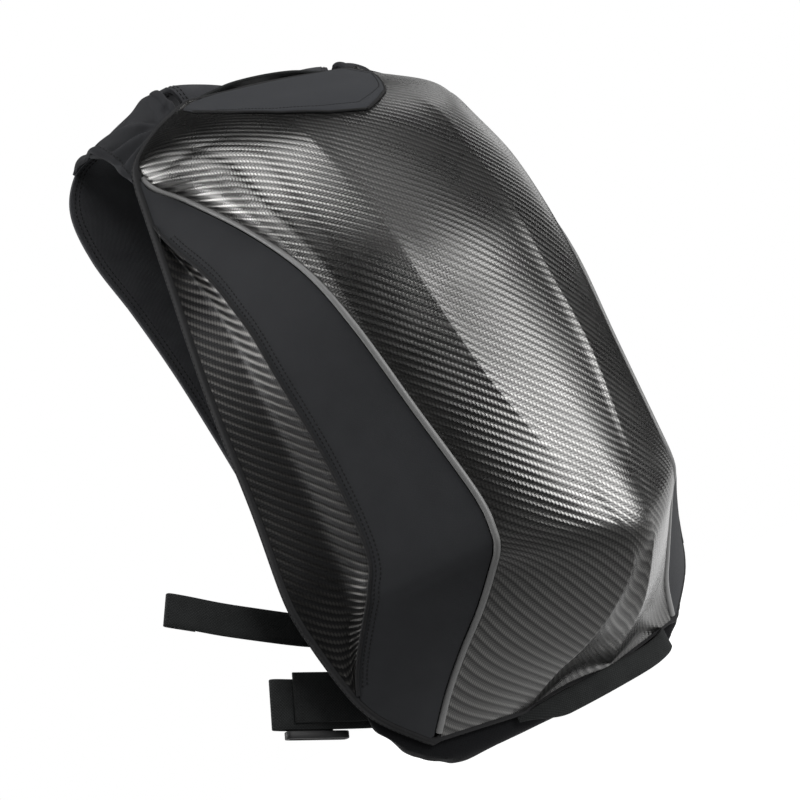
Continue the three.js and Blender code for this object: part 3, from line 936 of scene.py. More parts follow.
@dataclass
class Finishes:
    """Every finish of the bag, built once."""

    twill: Material = built(TwillFinish())
    inset: Material = built(TwillFinish(
        "inset_twill", warp=(0.11, 0.107, 0.102), weft=(0.045, 0.045, 0.045), roughness=0.37,
        wale_relief=0.18 * MM))
    panel: Material = built(FabricFinish(
        "panel_cloth", (0.048, 0.0493, 0.053), (0.029, 0.03, 0.0325)))
    patch: Material = built(FabricFinish(
        "patch_cloth", (0.046, 0.048, 0.0525), (0.028, 0.0295, 0.0335)))
    binding: Material = built(FabricFinish(
        "binding_tape", (0.036, 0.036, 0.037), (0.016, 0.016, 0.017), thread=0.9 * MM))
    padding: Material = built(FabricFinish(
        "padding_mesh", (0.075, 0.077, 0.082), (0.022, 0.022, 0.025),
        thread=1.6 * MM, relief=0.3 * MM))
    back: Material = built(FabricFinish(
        "back_mesh", (0.011, 0.0115, 0.0125), (0.003, 0.003, 0.004),
        thread=2.2 * MM, relief=0.4 * MM))
    yoke: Material = built(FabricFinish(
        "yoke_cloth", (0.042, 0.043, 0.046), (0.017, 0.0175, 0.02), thread=0.7 * MM))
    webbing: Material = built(WebbingFinish())
    piping: Material = built(MouldedFinish(
        "piping_vinyl", (0.26, 0.26, 0.255), (0.16, 0.16, 0.162), 0.42))
    plastic: Material = built(MouldedFinish(
        "buckle_plastic", (0.009, 0.0095, 0.01), (0.004, 0.004, 0.0045), 0.52))
    thread: Material = built(MouldedFinish(
        "sewing_thread", (0.006, 0.006, 0.0065), (0.002, 0.002, 0.0022), 0.85))


@dataclass(frozen=True)
class Stitch:
    """One stitch: the way to the next, its length and its thread's radius, in millimetres."""

    pitch: float
    length: float
    radius: float = 0.4


class StitchTree:
    """Geometry nodes that lay stitches along lines."""

    bead_segments = 5
    bead_rings = 4

    def __init__(self) -> None:
        """Builds the tree: lines, evenly cut, with one thread bead on each cut."""
        self.tree = bpy.data.node_groups.new("stitch_rows", "GeometryNodeTree")
        face = self.tree.interface
        face.new_socket("Lines", in_out="INPUT", socket_type="NodeSocketGeometry")
        for label in ("Pitch", "Length", "Radius"):
            face.new_socket(label, in_out="INPUT", socket_type="NodeSocketFloat")
        face.new_socket("Thread", in_out="INPUT", socket_type="NodeSocketMaterial")
        face.new_socket("Stitches", in_out="OUTPUT", socket_type="NodeSocketGeometry")
        add = self.tree.nodes.new
        given, made = add("NodeGroupInput"), add("NodeGroupOutput")
        curve, cut = add("GeometryNodeMeshToCurve"), add("GeometryNodeResampleCurve")
        cut.mode = "LENGTH"
        bead = add("GeometryNodeMeshUVSphere")
        bead.inputs["Segments"].default_value = self.bead_segments
        bead.inputs["Rings"].default_value = self.bead_rings
        bead.inputs["Radius"].default_value = 1.0
        tangent, turn = add("GeometryNodeInputTangent"), add("FunctionNodeAlignRotationToVector")
        turn.axis = "Z"
        half = add("ShaderNodeMath")
        half.operation = "MULTIPLY"
        half.inputs[1].default_value = 0.5
        size, lay = add("ShaderNodeCombineXYZ"), add("GeometryNodeInstanceOnPoints")
        real, paint = add("GeometryNodeRealizeInstances"), add("GeometryNodeSetMaterial")
        for source, target in (
            (given.outputs["Lines"], curve.inputs[0]),
            (curve.outputs[0], cut.inputs["Curve"]),
            (given.outputs["Pitch"], cut.inputs["Length"]),
            (cut.outputs[0], lay.inputs["Points"]),
            (bead.outputs["Mesh"], lay.inputs["Instance"]),
            (tangent.outputs[0], turn.inputs["Vector"]),
            (turn.outputs[0], lay.inputs["Rotation"]),
            (given.outputs["Length"], half.inputs[0]),
            (given.outputs["Radius"], size.inputs[0]),
            (given.outputs["Radius"], size.inputs[1]),
            (half.outputs[0], size.inputs[2]),
            (size.outputs[0], lay.inputs["Scale"]),
            (lay.outputs[0], real.inputs[0]),
            (real.outputs[0], paint.inputs["Geometry"]),
            (given.outputs["Thread"], paint.inputs["Material"]),
            (paint.outputs[0], made.inputs[0]),
        ):
            self.tree.links.new(source, target)

    def sew(self, name: str, lines: Iterable[np.ndarray], thread: Material,
            stitch: Stitch) -> Object:
        """Sews rows of stitches.

        Args:
            name: The piece's name.
            lines: Lines of points in the tables' frame.
            thread: The thread's finish.
            stitch: The size of one stitch.

        Returns:
            The stitches as one piece.
        """
        points, edges = [], []
        for line in lines:
            start = len(points)
            points.extend(placed(line).tolist())
            edges.extend((start + k, start + k + 1) for k in range(len(line) - 1))
        path = bpy.data.meshes.new(name + "_path")
        path.from_pydata(points, edges, [])
        runner = linked(name + "_path", path)
        rows = runner.modifiers.new("rows", "NODES")
        rows.node_group = self.tree
        sizes = {"Pitch": stitch.pitch * MM, "Length": stitch.length * MM,
                 "Radius": stitch.radius * MM, "Thread": thread}
        for item in self.tree.interface.items_tree:
            if item.in_out == "INPUT" and item.name in sizes:
                rows[item.identifier] = sizes[item.name]
        mesh = evaluated_mesh(runner)
        bpy.data.objects.remove(runner)
        mesh.name = name
        shade(mesh, NEVER_SHARP)
        return enlist(linked(name, mesh), None)


@dataclass
class Workshop:
    """What every sub-assembly needs: the finishes and the stitches."""

    finishes: Finishes = field(default_factory=Finishes)
    stitches: StitchTree = field(default_factory=StitchTree)

    def sew(self, name: str, lines: Iterable[np.ndarray], stitch: Stitch) -> Object:
        """Sews rows in the bag's own thread."""
        return self.stitches.sew(name, lines, self.finishes.thread, stitch)


@dataclass
class HardShell:
    """The moulded front with its two ridges and the fabric patch on its sloped top."""

    shop: Workshop
    wall: float = 3.0
    rows_per_station: int = 9
    flank_steps: int = 40
    flank_ease: float = 1.25
    lip_steps: int = 6
    plateau_steps: int = 28
    cloth_station: int = 8
    chin_span: Pair = (10.5, 12.5)
    chin_draw: Pair = (0.2, 0.2)
    patch_rows: tuple[Triple, ...] = (
        (-82, 0.5, 0.86), (-71, 0.2, 1.72), (-51, 0.06, 2.5), (-24, 0.06, 3.04), (2, 0.06, 3.3),
        (19, 0.06, 2.96), (35, 0.06, 2.54), (54, 0.06, 1.5), (69, 0.2, 0.75),
    )
    patch_lift: float = 0.4
    patch_wall: float = 1.5
    patch_edge: float = 0.35
    patch_welt: float = 1.1
    patch_welt_sides: int = 8
    patch_columns: int = 60
    patch_depth: int = 28
    patch_hem: int = 4
    patch_stitch: Stitch = Stitch(2.4, 1.9)

    def build(self) -> None:
        """Builds the shell and its patch."""
        self.build_shell()
        self.build_patch()

    def build_shell(self) -> None:
        """Builds the shell as one wall from border to border."""
        stations = spread(0, LAST, self.rows_per_station * LAST)
        flank = 1 - (1 - spread(0, 1, self.flank_steps)) ** self.flank_ease
        lip = 1 + spread(0, 1, self.lip_steps)[1:]
        plateau = 2 + spread(0, 1, self.plateau_steps)[1:]
        right = smoothed(FORM.shell(stations, np.concatenate([flank, lip, plateau])), 1, 1)
        left = mirrored(right[:, :-1], Side.LEFT)
        outer = np.concatenate([left, right[:, ::-1]], axis=1)
        inner = outer - grid_normals(outer, INSIDE) * self.wall
        inner[..., 1] = np.minimum(inner[..., 1], RIM_Y)
        uv = self.drawn_cloth(outer, stations, left.shape[1])
        draft = MeshDraft()
        draft.add_wall(outer, inner, uv)
        shell = draft.finish("hard_shell", self.shop.finishes.twill, SHARP_WALL)
        enlist(shell, Slot.CARBON_SKIN, "shell")

    def drawn_cloth(self, outer: np.ndarray, stations: np.ndarray, middle: int) -> np.ndarray:
        """UVs of the twill, drawn longer and narrower where the skin turns under the chin.

        Args:
            outer: The shell's outer grid in millimetres.
            stations: The station of each of its rows.
            middle: Its middle column.

        Returns:
            Crosswise and lengthwise lengths for each point.
        """
        uv = cloth_uv(outer, self.cloth_station * self.rows_per_station, middle)
        wide, long = self.chin_draw
        below = ramp(stations, *self.chin_span)[:, None]
        knee = uv[np.searchsorted(stations, sum(self.chin_span) / 2), :, 1]
        uv[..., 0] *= 1 + wide * below
        uv[..., 1] -= long * np.maximum(uv[..., 1] - knee, 0)
        return uv

    def build_patch(self) -> None:
        """Builds the patch, the dark welt on its border and its row of stitches."""
        x, back, front = np.array(self.patch_rows, float).T
        columns = spread(x[0], x[-1], self.patch_columns)
        backs, fronts = np.interp(columns, x, back), np.interp(columns, x, front)
        share = spread(0, 1, self.patch_depth)
        stations = backs[:, None] + (fronts - backs)[:, None] * share
        flat_x = np.repeat(columns, len(share))
        grid = FORM.shell_at_x(flat_x, stations.ravel()).reshape(*stations.shape, 3)
        normals = grid_normals(grid, INSIDE)
        rise = np.ones(grid.shape[:2])
        rise[[0, -1], :] = rise[:, [0, -1]] = self.patch_edge
        outer = grid + normals * (self.patch_lift + self.patch_wall * rise)[..., None]
        inner = grid + normals * self.patch_lift
        draft = MeshDraft()
        draft.add_wall(outer, inner, cloth_uv(outer, 0, 0))
        patch = draft.finish("top_patch_cloth", self.shop.finishes.patch, SHARP_SHEET)
        enlist(patch, Slot.PATCH_FABRIC, "top_patch")
        declare_sheet(patch, outer, "laid", "hard_shell")
        border = np.concatenate([outer[:-1, -1], outer[-1, :0:-1]])
        thread = self.shop.finishes.thread
        enlist(tube("top_patch_welt", border, self.patch_welt, self.patch_welt_sides, thread), None)
        top = grid + normals * (self.patch_lift + self.patch_wall)
        hem = self.patch_hem
        inside = np.concatenate([top[hem - 1:-hem, -hem], top[-hem, -hem:hem - 1:-1]])
        self.shop.sew("top_patch_stitches", [inside], self.patch_stitch)


@dataclass
class Flanks:
    """The side panels with their dished insets, sewn seams and piping."""

    shop: Workshop
    wall: float = 2.5
    rows: int = 150
    columns: int = 28
    lower_end: float = LAST - 0.12
    panel_from: float = PIPING_START - 0.2
    panel_least: float = 0.1
    inset_from: float = 4.3
    inset_to: float = 13.5
    inset_least: float = 0.004
    inset_dish: float = 8.0
    inset_full: float = 0.3
    inset_crease: float = 0.55
    inset_curve: float = 1.5
    inset_passes: int = 2
    seam_from: float = 4.27
    seam_to: float = 13.55
    seam_steps: int = 160
    seam_radius: float = 1.3
    seam_sides: int = 10
    seam_rows: Pair = (3.4, 6.4)
    seam_ends: int = 4
    seam_stitch: Stitch = Stitch(3.0, 2.3, 0.5)
    piping_from: float = PIPING_START - 0.35
    piping_steps: int = 220
    piping_sides: int = 14

    def build(self) -> None:
        """Builds both sides."""
        for side in Side:
            self.build_panel(side)
            self.build_inset(side)
            self.build_trims(side)

    def build_panel(self, side: Side) -> None:
        """Builds a panel from the inset's seam, or the rim, to the piping.

        Args:
            side: The side of the bag.
        """
        stations = spread(self.panel_from, self.lower_end, self.rows)
        seam = FORM.seam(stations)
        inner_share = np.where(seam > 0, seam + FORM.seam_clear(stations), 0)
        outer_share = 1 - FORM.clear_share(
            stations, FORM.rim(stations), PIPING_RADIUS + 2 * CLEARANCE)
        outer_share = np.maximum(outer_share, inner_share + self.panel_least)
        width = (outer_share - inner_share)[:, None]
        shares = inner_share[:, None] + width * spread(0, 1, self.columns)
        surface = FORM.side(stations, shares)
        panel = self.add_wall("side_panel_cloth", surface, side, self.shop.finishes.panel,
                              Slot.PANEL_FABRIC, "side_panel_")
        declare_sheet(panel, surface, "stretched", "hard_shell", "rim_binding_tape")

    def build_inset(self, side: Side) -> None:
        """Builds a dished inset from the rim to its seam.

        Args:
            side: The side of the bag.
        """
        stations = spread(self.inset_from, self.inset_to, self.rows)
        edge_share = np.maximum(FORM.seam(stations) - FORM.seam_clear(stations), self.inset_least)
        share = spread(0, 1, self.columns)
        fade = np.minimum(edge_share / self.inset_full, 1) * self.inset_dish
        crease = self.inset_crease
        rising = np.sin(np.clip((1 - share) / (1 - crease), 0, 1) * math.pi / 2) ** self.inset_curve
        dish = np.where(share < crease, share / crease, rising)[:, None]
        depth = fade[:, None] * smoothed(dish, 0, self.inset_passes)[:, 0]
        surface = FORM.side(stations, edge_share[:, None] * share)
        surface = surface - FORM.outward(stations)[:, None] * depth[..., None]
        self.add_wall("side_inset_skin", surface, side, self.shop.finishes.inset,
                      Slot.CARBON_SKIN, "side_inset_")

    def add_wall(self, name: str, surface: np.ndarray, side: Side, material: Material,
                 slot: Slot, node: str) -> Object:
        """Makes a wall under a surface on one side of the bag.

        Args:
            name: The piece's name without its side.
            surface: The outer surface on the right half.
            side: The side of the bag.
            material: The wall's finish.
            slot: The record's material slot.
            node: The name of the solid that it stands for, without its side.

        Returns:
            The piece.
        """
        outer = mirrored(surface, side)
        inner = outer - grid_normals(outer, INSIDE) * self.wall
        inner[..., 1] = np.minimum(inner[..., 1], RIM_Y)
        draft = MeshDraft()
        draft.add_wall(outer, inner, cloth_uv(outer, 0, 0) * np.array([-side.value, 1]))
        wall = draft.finish(f"{name}_{side.word}", material, SHARP_WALL)
        return enlist(wall, slot, node + side.word)

    def build_trims(self, side: Side) -> None:
        """Builds the piping, the inset's seam and the stitches beside it.

        Args:
            side: The side of the bag.
        """
        word, finishes = side.word, self.shop.finishes
        piping = mirrored(
            FORM.edge(spread(self.piping_from, self.lower_end, self.piping_steps)), side)
        cord = tube("piping_cord_" + word, piping, PIPING_RADIUS, self.piping_sides,
                    finishes.piping)
        enlist(cord, Slot.PIPING, "piping_" + word)
        stations = spread(self.seam_from, self.seam_to, self.seam_steps)
        seam = mirrored(FORM.side_line(stations, FORM.seam(stations)), side)
        roll = tube("inset_seam_roll_" + word, seam, self.seam_radius, self.seam_sides,
                    finishes.binding)
        enlist(roll, Slot.BINDING_TAPE, "inset_seam_" + word)
        rows = []
        for reach in self.seam_rows:
            shares = FORM.seam(stations) + reach * FORM.seam_clear(stations)
            rows.append(
                mirrored(FORM.side_line(stations, shares), side)[self.seam_ends:-self.seam_ends])
        self.shop.sew("inset_seam_stitches_" + word, rows, self.seam_stitch)


def tube(name: str, line: np.ndarray, radius: float, sides: int, material: Material) -> Object:
    """A round tube along a line.

    Args:
        name: The object's name.
        line: Points of its middle.
        radius: Its radius in millimetres.
        sides: How many points its sections have.
        material: Its finish.

    Returns:
        The tube.
    """
    ahead = unit(np.gradient(line, axis=0))
    out = unit(np.array([1.0, 0, 0]) - ahead * ahead[:, [0]])
    over = np.cross(ahead, out)
    turn = full_turn(sides)[:, None]
    ring = out[:, None] * np.cos(turn) + over[:, None] * np.sin(turn)
    draft = MeshDraft()
    draft.add_loft(line[:, None] + radius * ring)
    return draft.finish(name, material, SHARP_ROLL)


@dataclass
class RimBinding:
    """The tape folded over the rim, all the way round."""

    shop: Workshop
    inner: float = 1.9
    outer: float = 2.3
    front_fold: tuple[Pair, ...] = ((0.6, 0.0), (1.6, 0.25), (2.1, 0.9))
    back_fold: tuple[Pair, ...] = ((2.1, 0.8), (1.5, 0.0))
    flat_from: float = 2.0
    steps: int = 260
    rim_steps: int = 200
    end_steps: int = 40
    least_step: float = 1e-3
    stitch_depth: float = 5.4
    stitch: Stitch = Stitch(3.2, 2.3)

    def rim_loop(self) -> np.ndarray:
        """The rim's closed loop in its plane, from the middle of the top edge."""
        top = FORM.shell(np.array([0.0]), spread(FORM.middle, 0, self.end_steps))[0]
        bottom = FORM.shell(np.array([float(LAST)]), spread(0, FORM.middle, self.end_steps))[0]
        right = np.concatenate([top, FORM.rim(spread(0, LAST, self.rim_steps)), bottom])
        loop = np.concatenate([right, mirrored(right[::-1], Side.LEFT)])
        keep = np.linalg.norm(np.diff(loop, axis=0, prepend=loop[-1:]), axis=1) > self.least_step
        closed = ringed(loop[keep])
        length = run_lengths(closed, 0)
        even = np.linspace(0, length[-1], self.steps, endpoint=False)
        return np.stack([np.interp(even, length, closed[:, k]) for k in range(3)], axis=-1)

    def build(self) -> None:
        """Builds the tape with rounded folds, and its stitches."""
        loop = self.rim_loop()
        ahead = np.roll(loop, -1, axis=0) - np.roll(loop, 1, axis=0)
        out = unit(np.stack([-ahead[:, 2], 0 * ahead[:, 0], ahead[:, 0]], axis=-1))
        low, high = BINDING_FRONT_Y, BINDING_BACK_Y
        profile = [(-self.inner, low), *((d, low + y) for d, y in self.front_fold)]
        profile += [(self.outer, low + self.flat_from), (self.outer, high - self.flat_from)]
        profile += [*((d, high - y) for d, y in self.back_fold), (-self.inner, high)]
        loops = np.stack([self.ring(loop, out, d, y) for d, y in profile], axis=1)
        draft = MeshDraft()
        draft.add_loft(loops, ring=True)
        tape = draft.finish("rim_binding_tape", self.shop.finishes.binding, SHARP_ROLL)
        enlist(tape, Slot.BINDING_TAPE, "edge_binding")
        row = self.ring(ringed(loop), ringed(out), self.outer, low + self.stitch_depth)
        self.shop.sew("rim_binding_stitches", [row], self.stitch)

    @staticmethod
    def ring(loop: np.ndarray, out: np.ndarray, distance: float, y: float) -> np.ndarray:
        """The rim's loop moved outwards and to a depth.

        Args:
            loop: Points of the rim.
            out: Directions away from it.
            distance: How far it moves.
            y: The depth that it moves to.

        Returns:
            The moved points.
        """
        ring = loop + out * distance
        ring[:, 1] = y
        return ring


@dataclass(frozen=True)
class Puffing:
    """A short cloth simulation that swells a padded piece."""

    voxel: float = 5.0 * MM
    pressure: float = 4.0
    frames: int = 20
    cap: float = 6.0 * MM

    def swell(self, obj: Object, held: Callable[[np.ndarray], np.ndarray]) -> None:
        """Remeshes a closed piece and blows it up, with some of its points held.

        Args:
            obj: The piece, whose mesh is replaced.
            held: Tells which points, in metres, stay where they are.
        """
        remesh = obj.modifiers.new("remesh", "REMESH")
        remesh.mode = "VOXEL"
        remesh.voxel_size = self.voxel
        self.bake(obj)
        start = self.points(obj.data)
        group = obj.vertex_groups.new(name="held")
        group.add(np.flatnonzero(held(start)).tolist(), 1.0, "REPLACE")
        cloth = obj.modifiers.new("cloth", "CLOTH")
        cloth.settings.use_pressure = True
        cloth.settings.uniform_pressure_force = self.pressure
        cloth.settings.effector_weights.gravity = 0
        cloth.settings.vertex_group_mass = group.name
        cloth.point_cache.frame_end = self.frames
        for number in range(1, self.frames + 1):
            bpy.context.scene.frame_set(number)
        self.bake(obj)
        obj.vertex_groups.clear()
        bpy.context.scene.frame_set(1)
        moved = self.points(obj.data) - start
        length = np.linalg.norm(moved, axis=1, keepdims=True)
        moved *= np.minimum(1, self.cap / np.maximum(length, TINY))
        obj.data.vertices.foreach_set("co", (start + moved).ravel())
        rounder = obj.modifiers.new("round", "SUBSURF")
        rounder.levels = rounder.render_levels = 1
        self.bake(obj)
        shade(obj.data, NEVER_SHARP)

    @staticmethod
    def points(mesh: bpy.types.Mesh) -> np.ndarray:
        """The mesh's points as rows.

        Args:
            mesh: The mesh.

        Returns:
            One row for each point, in metres.
        """
        flat = np.empty(3 * len(mesh.vertices), np.float32)
        mesh.vertices.foreach_get("co", flat)
        return flat.reshape(-1, 3).astype(float)

    @staticmethod
    def bake(obj: Object) -> None:
        """Applies all modifiers of a piece.

        Args:
            obj: The piece, whose mesh is replaced.
        """
        mesh = evaluated_mesh(obj)
        obj.modifiers.clear()
        old, obj.data = obj.data, mesh
        bpy.data.meshes.remove(old)


@dataclass
class PaddedBack:
    """The foam back with its thicker foot and the channels sewn into it."""

    shop: Workshop
    puffing: Puffing = Puffing()
    side_inset: float = 3.0
    front: float = 4.2
    back: float = 23.5
    head: tuple[tuple[float, float, float, float], ...] = ((478, 62, 6, 20), (472, 70, 4.2, 23.5))
    foot: tuple[tuple[float, float, float, float], ...] = (
        (62, 149, 4.2, 24), (45, 147, 4.2, 25), (26, 142, 4.2, 30), (6, 126, 4.2, 35),
        (-6, 108, 4.2, 38), (-10, 100, 4.2, 38), (-14, 92, 10, 37), (-16.5, 84, 16, 35),
    )
    foot_station: int = 13
    rows_between: int = 6
    round_power: float = 0.35
    arc_steps: int = 48
    held_depth: float = 1.0
    spine: Pair = (9.0, 6.0)
    cross_channels: tuple[float, ...] = (120.0, 215.0, 310.0, 400.0)
    channel: Pair = (4.5, 3.5)
    press_margins: Pair = (6.0, 2.0)
    press_from: Pair = (30.0, 60.0)

    def build(self) -> None:
        """Builds the pad, swells it and presses the channels into its back."""
        middle = STATION_ROWS[1:self.foot_station]
        rows = [*self.head,
                *((r[1], r[0] - self.side_inset, self.front, self.back) for r in middle),
                *self.foot]
        last = len(rows) - 1
        at = spread(0, last, self.rows_between * last)
        fine = [np.interp(at, np.arange(len(rows)), column)[:, None]
                for column in np.array(rows, float).T]
        z, half, front, back = fine
        wide, deep = squared_arc(spread(0, math.pi, self.arc_steps), self.round_power)
        loops = np.stack([half * wide, front + (back - front) * deep, z + 0 * wide], axis=-1)
        draft = MeshDraft()
        draft.add_loft(loops)
        pad = draft.finish("back_pad", self.shop.finishes.back, SHARP_ROLL)
        front_line = placed(np.array([0.0, self.front + self.held_depth, 0.0]))[1]
        self.puffing.swell(pad, lambda points: points[:, 1] < front_line)
        self.press(pad)
        enlist(pad, Slot.PADDING_FABRIC, "back_panel")

    def press(self, pad: Object) -> None:
        """Presses the spine's channel and the cross channels into the back.

        Args:
            pad: The swollen pad.
        """
        points = self.puffing.points(pad.data)
        x, y, z = ((points - ORIGIN) / MM).T
        reach, most = self.spine
        depth = most * np.exp(-((x / reach) ** 2))
        reach, most = self.channel
        for height in self.cross_channels:
            depth = np.maximum(depth, most * np.exp(-(((z - height) / reach) ** 2)))
        near, far = self.press_margins
        depth *= ramp(y, self.front + near, self.back - far) * ramp(z, *self.press_from)
        points[:, 1] -= depth * MM
        points[:, 2] = np.maximum(points[:, 2], 0)
        pad.data.vertices.foreach_set("co", points.ravel())
        pad.data.update()


@dataclass(frozen=True)
class Band:
    """A flat strap: the points of its middle, half its width, its wall, and the way across it.

    A gathered strap starts at a share of its width and is open from a share of its length.
    """

    path: tuple[Triple, ...]
    half: float
    across: Triple
    wall: float = 1.8
    steps: int = 12
    start: float = 1.0
    opened_at: float = 0.3
    edge: Triple = (0.6, 0.15, 0.6)
    cross_steps: int = 6
    tack_margin: float = 1.5
    tack_steps: int = 12

    def frames(self, side: Side) -> tuple[np.ndarray, np.ndarray, np.ndarray]:
        """Middles, crosswise and facing directions along the strap.

        Args:
            side: The side of the bag.

        Returns:
            Three arrays with one row for each step.
        """
        at = spread(0, len(self.path) - 1, self.steps * (len(self.path) - 1))
        line = smooth_curve(np.array(self.path), at)
        over = unit(np.array(self.across)) + 0 * line
        face = unit(np.cross(np.gradient(line, axis=0), over))
        return mirrored(line, side), mirrored(over, side), mirrored(face, side)

    def build(self, name: str, material: Material, side: Side = Side.RIGHT) -> Object:
        """Builds the strap with rounded edges and ribs counted along it.

        Args:
            name: The object's name.
            material: Its finish.
            side: The side of the bag.

        Returns:
            The strap.
        """
        line, over, face = self.frames(side)
        half, thick = self.half, self.wall / 2
        flat, turned, share = self.edge
        left = [(flat - half, thick), (turned - half, thick * share), (-half, 0),
                (turned - half, -thick * share), (flat - half, -thick)]
        right = [(-u, -v) for u, v in left]
        cross = spread(flat - half, half - flat, self.cross_steps)[1:-1]
        section = left + [(u, -thick) for u in cross] + right + [(u, thick) for u in cross[::-1]]
        opening = ramp(spread(0, 1, len(line) - 1), 0, self.opened_at)
        over = over * mixed((self.start, 1), opening)[:, None]
        draft = MeshDraft()
        draft.add_loft(np.stack([line + over * u + face * v for u, v in section], axis=1))
        return draft.finish(name, material, SHARP_ROLL)

    def tacks(self, *places: float) -> list[np.ndarray]:
        """Lines across both faces at shares of the way along the strap, for stitches.

        Args:
            *places: Shares of the way along the strap.

        Returns:
            Two lines for each place.
        """
        line, over, face = self.frames(Side.RIGHT)
        end = self.half - self.tack_margin
        lines = []
        for place in places:
            k = round(place * (len(line) - 1))
            cross = line[k] + over[k] * spread(-end, end, self.tack_steps)[:, None]
            lines += [cross + face[k] * self.wall / 2, cross - face[k] * self.wall / 2]
        return lines


@dataclass(frozen=True)
class Buckle:
    """A moulded strap buckle: a rounded frame with bars across it."""

    centre: Triple
    wide: Triple
    tall: Triple
    width: float
    height: float
    depth: float
    bar: float
    bars: tuple[float, ...]
    corner: float = 0.3
    steps: int = 64
    bar_share: Pair = (0.8, 0.7)
    rounding: Pair = (0.45, 0.3)

    def build(self, name: str, material: Material, side: Side = Side.RIGHT) -> Object:
        """Builds the frame as a ring and each bar as a rod between its sides.

        Args:
            name: The object's name.
            material: Its finish.
            side: The side of the bag.

        Returns:
            The buckle.
        """
        wide, tall = unit(np.array(self.wide)), unit(np.array(self.tall))
        face = np.cross(wide, tall)
        half_width, half_height = (self.width - self.bar) / 2, (self.height - self.bar) / 2
        across, along = squared_arc(full_turn(self.steps), self.corner)
        path = wide * (half_width * across)[:, None] + tall * (half_height * along)[:, None]
        out = unit(np.cross(np.roll(path, -1, axis=0) - np.roll(path, 1, axis=0), face))
        centre = np.array(self.centre)
        draft = MeshDraft()
        section = self.section(self.bar, self.depth)
        rim = np.stack([path + out * u + face * v for u, v in section], axis=1)
        draft.add_loft(mirrored(centre + rim, side), ring=True)
        section = self.section(self.bar * self.bar_share[0], self.depth * self.bar_share[1])
        for offset in self.bars:
            ends = np.array([[-half_width], [half_width]]) * wide + tall * offset
            rod = np.stack([ends + tall * u + face * v for u, v in section], axis=1)
            draft.add_loft(mirrored(centre + rod, side))
        return draft.finish(name, material, SHARP_PLASTIC)

    def section(self, wide: float, high: float) -> list[Pair]:
        """A rectangle with rounded corners.

        Args:
            wide: The rectangle's width.
            high: Its height.

        Returns:
            The corners in order.
        """
        w, h = wide / 2, high / 2
        cut = self.rounding[0] * min(w, h)
        inner = self.rounding[1] * cut
        quarter = [(w, h - cut), (w - inner, h - inner), (w - cut, h)]
        half = quarter + [(-u, v) for u, v in quarter[::-1]]
        return half + [(-u, -v) for u, v in half]


